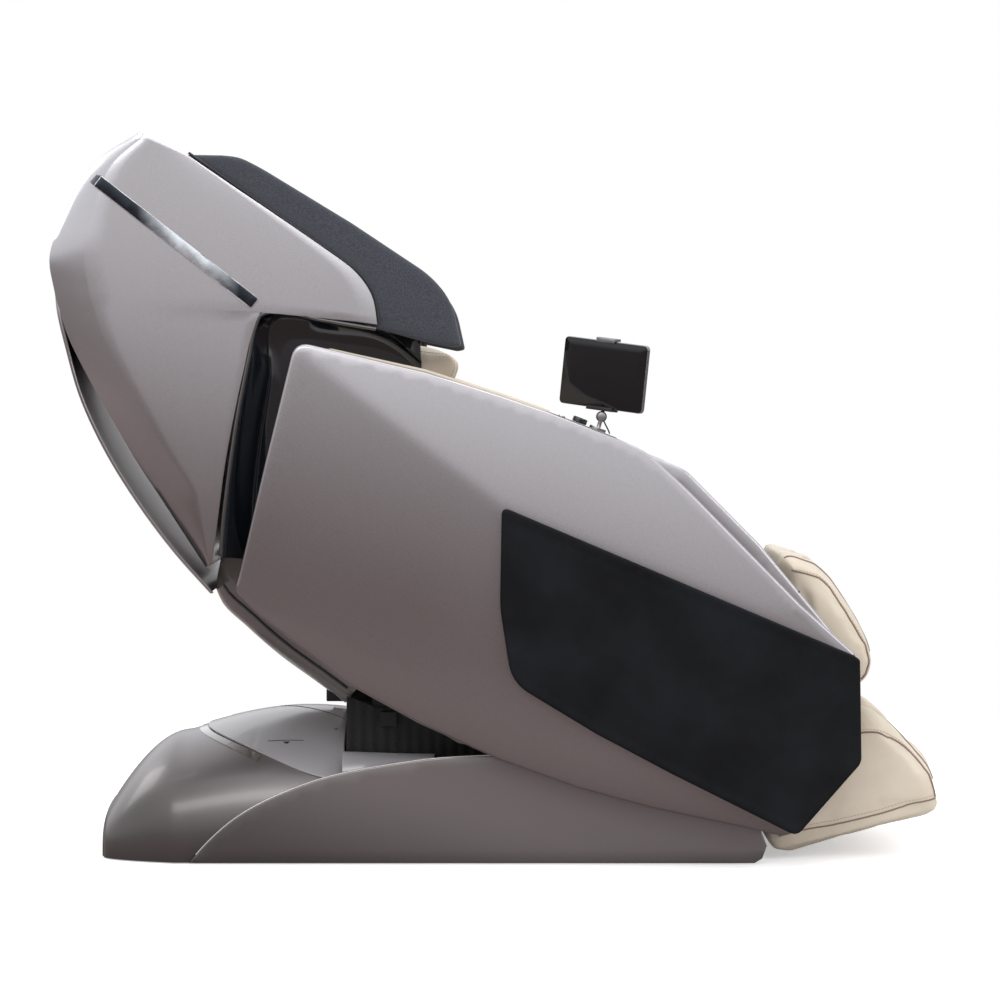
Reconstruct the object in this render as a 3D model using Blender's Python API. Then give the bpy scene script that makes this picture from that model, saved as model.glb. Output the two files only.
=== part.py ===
"""Full-body massage chair: a floor base, a seat pod that slides and tilts on it, a reclining back with
a hood, a lifting leg rest, the massage mechanism and a tablet holder.

Frame: metres, +X is the chair's front, +Y its left, +Z up, the floor at z = 0 under the middle.
"""

import math

import bmesh
import bpy
from mathutils import Matrix, Vector

# ---- driving dimensions ------------------------------------------------------------------------
GAP = 0.0003  # what touching pieces keep between them
WALL = 0.005  # wall of the moulded covers

ARM_OUT = 0.408  # half width over the arm covers
PAD_PROUD = 0.012  # how far the side pad stands out of the arm cover
ARM_SPLIT = 0.380  # where the arm body meets the arm cover
ARM_IN = 0.285  # inner face of the arm bodies
BASE_HALF = 0.330  # half width of the base
HOOD_HALF = 0.375  # half width of the hood
TRIM_IN = 0.268  # clear half width between the parts of the hood
TRIM_FACE = 0.2765  # outer face of the glossy side trims
TRIM_WALL = 0.004
LEG_HALF = 0.270  # half width of the calf and foot units
CUSHION_HALF = 0.234  # half width of the seat and back cushions

EAR = 0.012  # thickness of hinge ears
EAR_IN = 0.238  # inner face of the moving hinge ears
PIN_R = 0.008  # hinge pin
PIN_FIT = 0.0003  # radial clearance of a pin in its bore

RAIL_Y = 0.200  # centre of the base rails, off the middle
RAIL_W = 0.040
FRAME_LOW = 0.030  # underside of the base frame
FRAME_TOP = 0.070
TRACK_TOP = 0.095  # top of the slide tracks on the rails
TRACK_W = 0.020

SLIDE_TRAVEL = 0.150  # of the seat pod on the base
SHOE_FRONT = 0.220  # front end of the carriage's shoes
TILT_TURN = math.radians(15)  # of the pod, front up
RECLINE_TURN = math.radians(23)  # of the backrest
FOOT_TRAVEL = 0.120  # of the foot unit down the leg frame

TILT_PIVOT = (-0.180, 0.215)  # x, z of the pod's tilt shaft
HIP_PIVOT = (-0.200, 0.420)
KNEE_PIVOT = (0.455, 0.520)
SHAFT_R = 0.012

BACK_UP = Vector((-0.343, 0, 0.939)).normalized()  # along the backrest
BACK_OUT = Vector((BACK_UP.z, 0, -BACK_UP.x))  # out of it, towards the sitter

SEAT_REAR = (-0.120, 0.302)  # top of the seat pan, rear and front
SEAT_FRONT = (0.400, 0.420)
SEAT_THICK = 0.095

TABLET_W, TABLET_H, TABLET_T = 0.170, 0.118, 0.008
TABLET_AT = Vector((0.1915, -0.335, 0.8545))  # centre of the tablet
TABLET_YAW, TABLET_ROLL = math.radians(-33), math.radians(6.7)

COLOURS = {  # base colour, roughness, metallic
    "shell_paint": ((0.36, 0.335, 0.34), 0.28, 0.55),
    "base_paint": ((0.22, 0.20, 0.20), 0.25, 0.55),
    "dark_gloss": ((0.03, 0.035, 0.04), 0.06, 0.2),
    "black_fabric": ((0.03, 0.032, 0.037), 0.85, 0.0),
    "cream_leather": ((0.62, 0.56, 0.46), 0.5, 0.0),
    "frame_steel": ((0.10, 0.10, 0.11), 0.45, 0.9),
    "bright_steel": ((0.6, 0.6, 0.62), 0.25, 1.0),
    "black_plastic": ((0.02, 0.02, 0.022), 0.5, 0.0),
    "screen_glass": ((0.01, 0.01, 0.012), 0.05, 0.0),
}


# ---- tools -------------------------------------------------------------------------------------
def clear_scene():
    for obj in list(bpy.data.objects):
        bpy.data.objects.remove(obj, do_unlink=True)


def material(name):
    found = bpy.data.materials.get(name)
    if found:
        return found
    colour, roughness, metallic = COLOURS[name]
    made = bpy.data.materials.new(name)
    made.use_nodes = True
    shader = made.node_tree.nodes["Principled BSDF"]
    shader.inputs["Base Color"].default_value = (*colour, 1)
    shader.inputs["Roughness"].default_value = roughness
    shader.inputs["Metallic"].default_value = metallic
    return made


def finish_mesh(name, bm, finish, smooth=30):
    """Makes the bmesh an object of its own, closed faces pointing out."""
    bmesh.ops.remove_doubles(bm, verts=bm.verts, dist=1e-6)
    bmesh.ops.recalc_face_normals(bm, faces=bm.faces)
    mesh = bpy.data.meshes.new(name)
    bm.to_mesh(mesh)
    bm.free()
    obj = bpy.data.objects.new(name, mesh)
    bpy.context.scene.collection.objects.link(obj)
    if finish:
        mesh.materials.append(material(finish))
    mesh.shade_smooth()
    mesh.set_sharp_from_angle(angle=math.radians(smooth))
    return obj


def loft(name, rings, finish):
    """A closed solid through rings of equally many points, with a flat cap at each end."""
    bm = bmesh.new()
    rows = [[bm.verts.new(p) for p in ring] for ring in rings]
    count = len(rows[0])
    for low, high in zip(rows, rows[1:]):
        for i in range(count):
            j = (i + 1) % count
            bm.faces.new((low[i], low[j], high[j], high[i]))
    bm.faces.new(rows[0])
    bm.faces.new(rows[-1])
    return finish_mesh(name, bm, finish)


def skin(name, rows, wall, inside, finish, caps=()):
    """A sheet through rows of points, thickened by wall towards the point inside; caps are rows to fill."""
    bm = bmesh.new()
    made = [[bm.verts.new(p) for p in row] for row in rows]
    for low, high in zip(made, made[1:]):
        for i in range(len(low) - 1):
            bm.faces.new((low[i], low[i + 1], high[i + 1], high[i]))
    for index in caps:
        bm.faces.new(made[index])
    return shell(bm, name, wall, inside, finish)


def shell(bm, name, wall, inside, finish):
    """Makes the open bmesh an object whose wall stands on the side of the point inside."""
    bmesh.ops.recalc_face_normals(bm, faces=bm.faces)
    away = sum((f.calc_center_median() - Vector(inside)).dot(f.normal) * f.calc_area() for f in bm.faces)
    if away < 0:
        bmesh.ops.reverse_faces(bm, faces=bm.faces)
    mesh = bpy.data.meshes.new(name)
    bm.to_mesh(mesh)
    bm.free()
    obj = bpy.data.objects.new(name, mesh)
    bpy.context.scene.collection.objects.link(obj)
    mesh.materials.append(material(finish))
    thicken = obj.modifiers.new("wall", "SOLIDIFY")
    thicken.thickness = wall
    thicken.offset = -1
    mesh.shade_smooth()
    mesh.set_sharp_from_angle(angle=math.radians(30))
    return obj


def prism(name, outline, y_low, y_high, finish):
    """An outline of (x, z) points, extruded across the chair."""
    return loft(name, [[(x, y, z) for x, z in outline] for y in (y_low, y_high)], finish)


def box(name, low, high, finish):
    (x0, y0, z0), (x1, y1, z1) = low, high
    return prism(name, [(x0, z0), (x1, z0), (x1, z1), (x0, z1)], y0, y1, finish)


def slab(name, start, end, half_y, thick, finish, y_mid=0.0):
    """A flat bar from start to end, both (x, z), with its top face on that line."""
    a, b = Vector((start[0], 0, start[1])), Vector((end[0], 0, end[1]))
    down = (b - a).normalized().cross(Vector((0, 1, 0)))
    down = down if down.z < 0 else -down
    corners = [a, b, b + down * thick, a + down * thick]
    return prism(name, [(c.x, c.z) for c in corners], y_mid - half_y, y_mid + half_y, finish)


def rod(name, start, end, radius, finish, sides=12):
    a, b = Vector(start), Vector(end)
    turn = (b - a).to_track_quat("Z", "Y").to_matrix()
    rings = []
    for centre in (a, b):
        angles = [2 * math.pi * i / sides for i in range(sides)]
        ring = [Vector((radius * math.cos(t), radius * math.sin(t), 0)) for t in angles]
        rings.append([centre + turn @ point for point in ring])
    return loft(name, rings, finish)


def disc(name, centre, radius, y_low, y_high, finish, sides=16):
    """A short cylinder about an axis across the chair, centre given as (x, z)."""
    return rod(name, (centre[0], y_low, centre[1]), (centre[0], y_high, centre[1]), radius, finish, sides)


def bevel(obj, width, segments=2, angle=30):
    edges = obj.modifiers.new("bevel", "BEVEL")
    edges.width = width
    edges.segments = segments
    edges.limit_method = "ANGLE"
    edges.angle_limit = math.radians(angle)
    return obj


def boolean(obj, others, operation):
    for other in others:
        other.hide_render = True
        other.display_type = "WIRE"
        step = obj.modifiers.new(operation.lower(), "BOOLEAN")
        step.operation = operation
        step.object = other
    return obj


def union(obj, others):
    return boolean(obj, others, "UNION")


def cut(obj, others):
    return boolean(obj, others, "DIFFERENCE")


def rounded(points, radius, steps=3):
    """The outline with each corner turned into an arc. radius is one number, or one for each corner."""
    radii = radius if isinstance(radius, (list, tuple)) else [radius] * len(points)
    made = []
    for i, (point, r) in enumerate(zip(points, radii)):
        here = Vector(point)
        back = Vector(points[i - 1]) - here
        ahead = Vector(points[(i + 1) % len(points)]) - here
        half = back.angle(ahead) / 2
        reach = min(r / math.tan(half), 0.45 * back.length, 0.45 * ahead.length) if r else 0
        if reach < 1e-5 or half > math.radians(88):
            made.append(tuple(here))
            continue
        start, end = here + back.normalized() * reach, here + ahead.normalized() * reach
        for k in range(steps + 1):
            t = k / steps
            made.append(tuple(start * (1 - t) ** 2 + here * 2 * t * (1 - t) + end * t**2))
    return made


def curve(points, steps=3):
    """A smooth open line through the points."""
    made = []
    for i in range(len(points) - 1):
        p0, p1, p2, p3 = (Vector(points[max(0, min(len(points) - 1, k))]) for k in (i - 1, i, i + 1, i + 2))
        for k in range(steps):
            t = k / steps
            made.append(
                tuple(
                    0.5
                    * (
                        2 * p1
                        + (p2 - p0) * t
                        + (2 * p0 - 5 * p1 + 4 * p2 - p3) * t * t
                        + (3 * p1 - p0 - 3 * p2 + p3) * t**3
                    )
                )
            )
    return made + [tuple(points[-1])]


def inset(outline, depth):
    """The closed outline moved inwards by depth."""
    area = sum(a[0] * b[1] - b[0] * a[1] for a, b in zip(outline, outline[1:] + outline[:1]))
    turn = 1 if area > 0 else -1
    made = []
    for i, point in enumerate(outline):
        here = Vector(point)
        before = (here - Vector(outline[i - 1])).normalized()
        after = (Vector(outline[(i + 1) % len(outline)]) - here).normalized()
        normal = Vector((-(before + after).y, (before + after).x)).normalized() * turn
        lean = max(0.5, normal.dot(Vector((-before.y, before.x)) * turn))
        made.append(tuple(here + normal * depth / lean))
    return made


def pan(name, outline, y_face, y_rim, finish):
    """A shallow cover: closed at y_face (a number or a function of (x, z)), open at y_rim."""
    face = y_face if callable(y_face) else lambda x, z: y_face
    inner = inset(outline, WALL)
    into = WALL if y_rim > face(*outline[0]) else -WALL
    rings = [
        [(x, face(x, z), z) for x, z in outline],
        [(x, y_rim, z) for x, z in outline],
        [(x, y_rim, z) for x, z in inner],
        [(x, face(x, z) + into, z) for x, z in inner],
    ]
    return loft(name, rings, finish)


def on_back(along, out, y=0.0):
    """A point on the backrest: along it from the hip pivot, and out of it towards the sitter."""
    base = Vector((HIP_PIVOT[0], y, HIP_PIVOT[1]))
    return base + BACK_UP * along + BACK_OUT * out


def back_block(name, along, out, y_span, finish):
    """A block lined up with the backrest."""
    corners = [(along[0], out[0]), (along[1], out[0]), (along[1], out[1]), (along[0], out[1])]
    outline = [(p.x, p.z) for p in (on_back(a, b) for a, b in corners)]
    return prism(name, outline, *y_span, finish)


def sides():
    """(-1, "right") and (1, "left"): the sitter's right is at -Y."""
    return ((-1, "right"), (1, "left"))


def span(side, near, far):
    """The y range from near to far off the middle, on one side, low end first."""
    return tuple(sorted((side * near, side * far)))


# ---- base --------------------------------------------------------------------------------------
FRAME_REAR, FRAME_FRONT = -0.625, 0.420
WHEEL_AT = (-0.600, 0.0385)
WHEEL_R, WHEEL_W, AXLE_R = 0.035, 0.025, 0.006
SIDE_COVER_T = 0.006
REAR_COVER_HALF = BASE_HALF - SIDE_COVER_T - GAP
FLOOR_CLEAR = 0.002  # the covers hang this far off the floor
HATCH_T = 0.004


def base_frame():
    bars = []
    for side, _ in sides():
        y = span(side, RAIL_Y - RAIL_W / 2, RAIL_Y + RAIL_W / 2)
        bars.append(box("rail", (FRAME_REAR, y[0], FRAME_LOW), (FRAME_FRONT, y[1], FRAME_TOP), None))
        track = span(side, RAIL_Y - TRACK_W / 2, RAIL_Y + TRACK_W / 2)
        track_end = SHOE_FRONT + SLIDE_TRAVEL + 0.015
        bars.append(
            box("track", (-0.25, track[0], FRAME_TOP - 0.01), (track_end, track[1], TRACK_TOP), None)
        )
    for x, low, high in ((-0.50, 0.032, 0.068), (-0.02, 0.032, 0.068), (0.38, 0.032, 0.068)):
        reach = REAR_COVER_HALF if x > -0.1 else REAR_COVER_HALF - 0.030
        bars.append(box("cross", (x, -reach, low), (x + 0.036, reach, high), None))
    bars.append(disc("wheel_axle", WHEEL_AT, AXLE_R, -0.262, 0.262, None, 16))
    frame = box("base_frame", (-0.30, -RAIL_Y, 0.034), (-0.27, RAIL_Y, 0.066), "frame_steel")
    return union(frame, bars)


def base_feet():
    for name, x in (("front_foot_bar", 0.372), ("rear_foot_bar", -0.508)):
        bevel(box(name, (x, -0.26, 0), (x + 0.050, 0.26, FRAME_LOW - GAP), "black_plastic"), 0.004, 1)


def wheels():
    for side, label in sides():
        low, high = span(side, 0.226, 0.226 + WHEEL_W)
        wheel = disc("transport_wheel_" + label, WHEEL_AT, WHEEL_R, low, high, "black_plastic", 24)
        bevel(wheel, 0.004, 1)
        cut(wheel, [disc("hub_bore", WHEEL_AT, AXLE_R + PIN_FIT, low - 0.01, high + 0.01, None, 16)])


def base_side_covers():
    top = curve(
        [(-0.534, FLOOR_CLEAR), (-0.463, 0.073), (-0.338, 0.138), (-0.151, 0.180), (0.10, 0.196)], 3
    )
    front = [(0.40, 0.165), (0.466, 0.060), (0.476, 0.032), (0.468, 0.010), (0.455, FLOOR_CLEAR)]
    for side, label in sides():
        low, high = span(side, BASE_HALF - SIDE_COVER_T, BASE_HALF)
        bevel(prism("base_side_cover_" + label, top + front, low, high, "base_paint"), 0.0015, 1)


def rear_cover_section(x):
    """Half width and height of the rear cover at x."""
    rear, knee, crown = -0.692, -0.560, -0.340
    if x < knee:
        t = (x - rear) / (knee - rear)
        return 0.240 + (REAR_COVER_HALF - 0.240) * t**0.5, 0.085 + 0.133 * math.sin(t * math.pi / 2) ** 0.8
    t = min(1, (x - knee) / (crown - knee))
    fall = max(0, x - crown) ** 2 * 0.9
    return REAR_COVER_HALF, 0.218 + 0.036 * math.sin(t * math.pi / 2) - fall


def rear_cover_z(x, y):
    """Height of the rear cover's skin over the floor."""
    half, height = rear_cover_section(x)
    share = min(1, abs(y) / half)
    return FLOOR_CLEAR + (height - FLOOR_CLEAR) * (1 - share**2.6) ** (1 / 2.4)


def rear_cover():
    stations = [-0.692, -0.688, -0.672, -0.648, -0.610, -0.560, -0.490, -0.415, -0.340, -0.265]
    shares = [-1, -0.985, -0.93, -0.82, -0.62, -0.32, 0, 0.32, 0.62, 0.82, 0.93, 0.985, 1]
    rows = []
    for x in stations:
        half = rear_cover_section(x)[0]
        rows.append([(x, half * s, rear_cover_z(x, half * s)) for s in shares])
    cover = skin("base_rear_cover", rows, WALL, (-0.45, 0, 0.05), "base_paint", caps=(0,))
    window = box(
        "mains_window", (-0.72, MAINS_Y[0] - GAP, MAINS_Z[0] - GAP),
        (-0.66, MAINS_Y[1] + GAP, MAINS_Z[1] + GAP), None,
    )
    return cut(cover, [window])


def base_hatch():
    """The lid on top of the rear cover, rounded at its rear end."""
    rows = []
    for x in (-0.480, -0.468, -0.440, -0.400, -0.350, -0.300, -0.272):
        rounding = max(0.0, (-0.40 - x) / 0.08)
        half = 0.205 * math.sqrt(max(0.02, 1 - rounding**2))
        ys = [half * k / 4 for k in range(-4, 5)]
        rows.append([(x, y, rear_cover_z(x, y) + HATCH_T + 3 * GAP) for y in ys])
    return skin("base_hatch", rows, HATCH_T - 0.001, (-0.38, 0, -0.5), "base_paint")


def base_front_cover():
    low, high = (0.4363, -REAR_COVER_HALF, 0.004), (0.4423, REAR_COVER_HALF, 0.150)
    cover = box("base_front_cover", low, high, "base_paint")
    tabs = []
    for side, _ in sides():
        y = span(side, RAIL_Y - 0.012, RAIL_Y + 0.012)
        tabs.append(box("tab", (FRAME_FRONT + GAP, y[0], 0.036), (0.438, y[1], 0.062), None))
    return union(cover, tabs)


MAINS_Y, MAINS_Z = (-0.055, 0.055), (0.022, 0.062)
ROCKER_AT, ROCKER_R = (-0.688, 0.042), 0.010


def power_unit():
    bevel(
        box("power_unit", (-0.46, -0.19, FRAME_TOP + GAP), (-0.32, 0.19, 0.165), "black_plastic"),
        0.006, 1,
    )
    panel = box(
        "mains_panel", (-0.686, MAINS_Y[0], MAINS_Z[0]), (-0.650, MAINS_Y[1], MAINS_Z[1]),
        "black_plastic",
    )
    arm = box("stay", (-0.655, -0.010, 0.0460), (-0.5003, 0.010, 0.058), None)
    socket = box("inlet_socket", (-0.70, -0.040, 0.031), (-0.668, -0.012, 0.053), None)
    seat = box("rocker_seat", (-0.70, 0.014, 0.030), (-0.672, 0.036, 0.054), None)
    union(panel, [arm])
    cut(panel, [socket, seat])
    disc("mains_switch", ROCKER_AT, ROCKER_R, 0.0145, 0.0355, "black_plastic", 20)


# ---- slide carriage ----------------------------------------------------------------------------
CARRIAGE_LOW, CARRIAGE_TOP = TRACK_TOP + GAP, 0.115
TILT_FOOT = (0.100, 0.135)  # lower pin of the tilt actuator
TILT_HEAD = (0.260, 0.262)  # its upper pin, on the seat frame
TILT_PIN_R = 0.006
CLEVIS_IN, CLEVIS_OUT = 0.0125, 0.0205


def clevis(centre, root, width, y_mid):
    """Two ears and a pin: centre and root are (x, z), the ears run from root to the pin."""
    a, b = Vector(centre), Vector(root)
    along = (a - b).normalized()
    side = Vector((-along.y, along.x)) * width / 2
    outline = [
        tuple(b - side), tuple(b + side), tuple(a + along * width / 2 + side),
        tuple(a + along * width / 2 - side),
    ]
    made = []
    for low, high in ((-CLEVIS_OUT, -CLEVIS_IN), (CLEVIS_IN, CLEVIS_OUT)):
        made.append(prism("clevis_ear", outline, y_mid + low, y_mid + high, None))
    made.append(
        disc(
            "clevis_pin", centre, TILT_PIN_R, y_mid - CLEVIS_OUT + 0.001, y_mid + CLEVIS_OUT - 0.001,
            None, 16,
        )
    )
    return made


def slide_carriage():
    frame = box("slide_carriage", (-0.130, -RAIL_Y, 0.0965), (-0.095, RAIL_Y, 0.113), "frame_steel")
    parts = [box("cross", (0.060, -RAIL_Y, 0.0965), (0.120, RAIL_Y, 0.113), None)]
    for side, _ in sides():
        low, high = span(side, RAIL_Y - 0.015, RAIL_Y + 0.015)
        parts.append(box("shoe", (-0.240, low, CARRIAGE_LOW), (SHOE_FRONT, high, CARRIAGE_TOP), None))
        ear = [(-0.225, 0.105), (-0.135, 0.105), (-0.164, 0.232), (-0.196, 0.232)]
        low, high = span(side, RAIL_Y - EAR / 2, RAIL_Y + EAR / 2)
        parts.append(prism("ear", ear, low, high, None))
    parts += clevis(TILT_FOOT, (TILT_FOOT[0], 0.108), 0.022, 0.0)
    union(frame, parts)
    cut(frame, [disc("shaft_bore", TILT_PIVOT, SHAFT_R + PIN_FIT, -0.30, 0.30, None, 24)])
    disc("tilt_shaft", TILT_PIVOT, SHAFT_R, -0.212, 0.212, "bright_steel", 24)


# ---- actuators ---------------------------------------------------------------------------------
TUBE_R, ROD_R = 0.016, 0.007
EYE_R, EYE_W, OPEN_EYE_HOLE = 0.019, 0.011, 0.0125


def pin_distance(foot, head, pivot, turn):
    """How far the pin at head is from foot once it has turned about pivot."""
    reach = Vector(head) - Vector(pivot)
    turned = Vector(pivot) + Matrix.Rotation(turn, 2) @ reach
    return (turned - Vector(foot)).length


def actuator(name, foot, head, y_mid, tube_length, rod_start, pivot, turn):
    """A motor and tube pinned at foot, and a rod whose eye stands round the pin at head with play.

    rod_start is how far from foot the rod begins; the bore leaves room for what the turn pushes it in.
    """
    retract = max(0, pin_distance(foot, head, pivot, 0) - pin_distance(foot, head, pivot, turn)) + 0.004
    a, b = Vector((foot[0], y_mid, foot[1])), Vector((head[0], y_mid, head[1]))
    along = (b - a).normalized()
    body = rod(name, a + along * 0.0175, a + along * tube_length, TUBE_R, "black_plastic", 12)
    eye = disc("foot_eye", foot, EYE_R, y_mid - EYE_W, y_mid + EYE_W, None, 16)
    motor = rod("motor", a + along * 0.035, a + along * 0.085, TUBE_R + 0.005, None, 12)
    union(body, [eye, motor])
    bore = rod(
        "rod_bore", a + along * (rod_start - retract), a + along * (tube_length + 0.02),
        ROD_R + PIN_FIT, None, 12,
    )
    cut(body, [bore, disc("pin_bore", foot, TILT_PIN_R + PIN_FIT, y_mid - 0.03, y_mid + 0.03, None, 12)])
    tip = b - along * (OPEN_EYE_HOLE + 0.003)
    piston = rod(name + "_rod", a + along * rod_start, tip, ROD_R, "bright_steel", 12)
    union(piston, [disc("rod_eye", head, EYE_R, y_mid - EYE_W, y_mid + EYE_W, None, 16)])
    cut(piston, [disc("eye_hole", head, OPEN_EYE_HOLE, y_mid - 0.03, y_mid + 0.03, None, 16)])


# ---- seat pod ----------------------------------------------------------------------------------
SEAT_RAIL_Y = (0.150, 0.180)
SEAT_RAIL_Z = (0.268, 0.298)
SEAT_EAR = (EAR_IN + EAR + GAP, EAR_IN + 2 * EAR + GAP)
MID_CROSS_X = (0.100, 0.130)
RECLINE_FOOT, RECLINE_HEAD = (0.078, 0.274), (-0.215, 0.285)
RECLINE_ACT_Y, TILT_ACT_Y = -0.075, 0.0
DRIVE_R = 0.024  # tubular gear motor on the knee axis
DRIVE_HOLDER = (0.155, 0.170)


def seat_frame():
    frame = slab("seat_frame", SEAT_REAR, SEAT_FRONT, 0.200, 0.005, "frame_steel")
    parts = []
    for side, _ in sides():
        low, high = span(side, *SEAT_RAIL_Y)
        parts.append(box("rail", (-0.212, low, SEAT_RAIL_Z[0]), (0.405, high, SEAT_RAIL_Z[1]), None))
        lug = [(-0.200, 0.196), (-0.160, 0.196), (-0.150, 0.280), (-0.210, 0.280)]
        parts.append(prism("lug", lug, low + 0.006, high - 0.004, None))
        post = span(side, *DRIVE_HOLDER)
        holder = [
            (0.376, 0.285), (0.404, 0.285), (0.424, 0.400), (0.455, 0.486), (0.482, 0.500),
            (0.486, 0.522),
        ]
        holder += [(0.478, 0.545), (0.455, 0.552), (0.428, 0.545), (0.408, 0.425), (0.376, 0.395)]
        parts.append(prism("drive_holder", holder, *post, None))
        low, high = span(side, *SEAT_EAR)
        hip_ear = rounded([(-0.212, 0.236), (-0.150, 0.236), (-0.172, 0.446), (-0.228, 0.446)], 0.012, 2)
        knee_ear = rounded(
            [
                (0.372, 0.272), (0.404, 0.272), (0.424, 0.400), (0.476, 0.500), (0.470, 0.546),
                (0.432, 0.546), (0.386, 0.420),
            ],
            0.01, 1,
        )
        parts += [prism("hip_ear", hip_ear, low, high, None), prism("knee_ear", knee_ear, low, high, None)]
    reach = ARM_IN - GAP
    parts.append(box("rear_cross", (-0.200, -reach, 0.238), (-0.172, reach, 0.262), None))
    parts.append(box("front_cross", (0.375, -reach, 0.2705), (0.403, reach, 0.2955), None))
    parts.append(box("mid_cross", (MID_CROSS_X[0], -0.17, 0.262), (MID_CROSS_X[1], 0.17, 0.2925), None))
    parts.append(box("head_cross", (0.2855, -0.17, 0.270), (0.310, 0.17, 0.292), None))
    parts += clevis(RECLINE_FOOT, (0.112, 0.276), 0.022, RECLINE_ACT_Y)
    parts += clevis(TILT_HEAD, (0.2965, 0.280), 0.022, TILT_ACT_Y)
    union(frame, parts)
    bores = [disc("shaft_bore", TILT_PIVOT, SHAFT_R + PIN_FIT, -0.35, 0.35, None, 24)]
    bores.append(disc("hip_bore", HIP_PIVOT, PIN_R + PIN_FIT, -0.35, 0.35, None, 16))
    bores.append(disc("knee_bore", KNEE_PIVOT, PIN_R + PIN_FIT, -0.35, 0.35, None, 16))
    bores.append(disc("drive_bore", KNEE_PIVOT, DRIVE_R + PIN_FIT, -0.20, 0.20, None, 24))
    return cut(frame, bores)


def leg_drive():
    """A tubular gear motor on the knee axis: the seat frame holds its tube, its ends turn the leg frame."""
    drive = disc("leg_drive", KNEE_PIVOT, DRIVE_R, -0.190, 0.190, "bright_steel", 20)
    return union(drive, [disc("output", KNEE_PIVOT, 0.016, -EAR_IN + GAP, EAR_IN - GAP, None, 16)])


def seat_cushion():
    up = Vector(
        (SEAT_FRONT[0] - SEAT_REAR[0], 0, SEAT_FRONT[1] - SEAT_REAR[1])
    ).normalized().cross(Vector((0, -1, 0)))
    up = up if up.z > 0 else -up
    rear, front = Vector((SEAT_REAR[0], 0, SEAT_REAR[1])), Vector((SEAT_FRONT[0], 0, SEAT_FRONT[1]))
    corners = [rear + up * GAP, front + up * GAP, front + up * SEAT_THICK, rear + up * SEAT_THICK]
    outline = rounded([(c.x, c.z) for c in corners], [0.01, 0.02, 0.045, 0.02], 3)
    return bevel(prism("seat_cushion", outline, -CUSHION_HALF, CUSHION_HALF, "cream_leather"), 0.012, 2)


def lower_shell():
    """The trough under the hips: it carries on where the back cover ends."""
    path = [(-0.488, 0.452), (-0.440, 0.402), (-0.380, 0.350), (-0.322, 0.308), (-0.268, 0.268)]
    half = TRIM_FACE - TRIM_WALL - 3 * GAP  # the side trims swing down past it
    across = [
        (half, 0.110), (half, 0.060), (half - 0.009, 0.026), (half - 0.040, 0.008), (0.150, 0.001),
        (0.0, 0.0),
    ]
    rows = []
    for i, (x, z) in enumerate(path):
        x2, z2 = path[min(i + 1, len(path) - 1)]
        x1, z1 = path[max(i - 1, 0)]
        inward = Vector((z1 - z2, x2 - x1)).normalized()
        left = [(x + inward.x * off, y, z + inward.y * off) for y, off in across]
        rows.append([(px, -py, pz) for px, py, pz in left] + left[-2::-1])
    shell = skin("lower_shell", rows, WALL, (-0.30, 0, 0.45), "base_paint")
    straps = []
    for side, _ in sides():
        low, high = span(side, *SEAT_RAIL_Y)
        straps.append(box("strap", (-0.300, low, 0.272), (-0.2123, high, 0.294), None))
    return union(shell, straps)


ARM_TOP = [(-0.342, 0.910), (-0.120, 0.859), (0.010, 0.818), (0.098, 0.788), (0.213, 0.744)]
ARM_BOTTOM = [
    (0.499, 0.056), (0.448, 0.068), (0.268, 0.106), (0.147, 0.139), (0.010, 0.188), (-0.131, 0.252),
    (-0.256, 0.321), (-0.404, 0.438),
]


CREASE = [(-0.346, 0.903), (0.020, 0.622), (0.622, 0.374)]  # the widest line of the arm cover


def arm_face(x, z):
    """How far out the arm cover's face is: it falls away above and below the crease."""
    a, b = (CREASE[0], CREASE[1]) if x < CREASE[1][0] else (CREASE[1], CREASE[2])
    line = a[1] + (b[1] - a[1]) * (x - a[0]) / (b[0] - a[0])
    return ARM_OUT - (0.050 * (z - line) if z > line else 0.022 * (line - z))


def arm_covers():
    """A creased sheet of four facets with a rim turned inwards."""
    corner = rounded([(-0.395, 0.700), (-0.342, 0.912), (-0.120, 0.859)], [0, 0.026, 0], 3)[1:-1]
    rear_top = corner[1:] + ARM_TOP[1:3]
    front_top = ARM_TOP[2:] + [(0.262, 0.722), (0.330, 0.660), (0.527, 0.459), CREASE[2]]
    front_low = [CREASE[2], (0.627, 0.187), (0.519, 0.062)] + ARM_BOTTOM[:5]
    rear_low = ARM_BOTTOM[4:] + [(-0.448, 0.482), (-0.441, 0.505)] + corner[:1]
    facets = [[CREASE[0]] + rear_top, front_top, front_low, rear_low + [CREASE[0]]]
    for side, label in sides():
        bm = bmesh.new()
        found = {}

        def corner_at(x, z, rim):
            key = (x, z, rim)
            if key not in found:
                y = ARM_SPLIT + GAP if rim else arm_face(x, z)
                found[key] = bm.verts.new((x, side * y, z))
            return found[key]

        for facet in facets:
            bm.faces.new([corner_at(x, z, False) for x, z in facet + [CREASE[1]]])
        outline = sum((facet[:-1] for facet in facets), [])
        for a, b in zip(outline, outline[1:] + outline[:1]):
            ring = (corner_at(*a, False), corner_at(*b, False), corner_at(*b, True), corner_at(*a, True))
            bm.faces.new(ring)
        shell(bm, "arm_cover_" + label, WALL, (0.1, 0, 0.4), "shell_paint")


ARM_BODY = [
    (-0.300, 0.893), (-0.120, 0.852), (0.010, 0.812), (0.098, 0.782), (0.213, 0.738), (0.331, 0.690),
    (0.458, 0.562), (0.610, 0.380), (0.620, 0.300), (0.606, 0.215), (-0.060, 0.215), (-0.140, 0.266),
    (-0.256, 0.330), (-0.404, 0.450), (-0.425, 0.505),
]


def arm_bodies():
    for side, label in sides():
        pan("arm_body_" + label, ARM_BODY, side * ARM_IN, side * ARM_SPLIT, "shell_paint")


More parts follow.
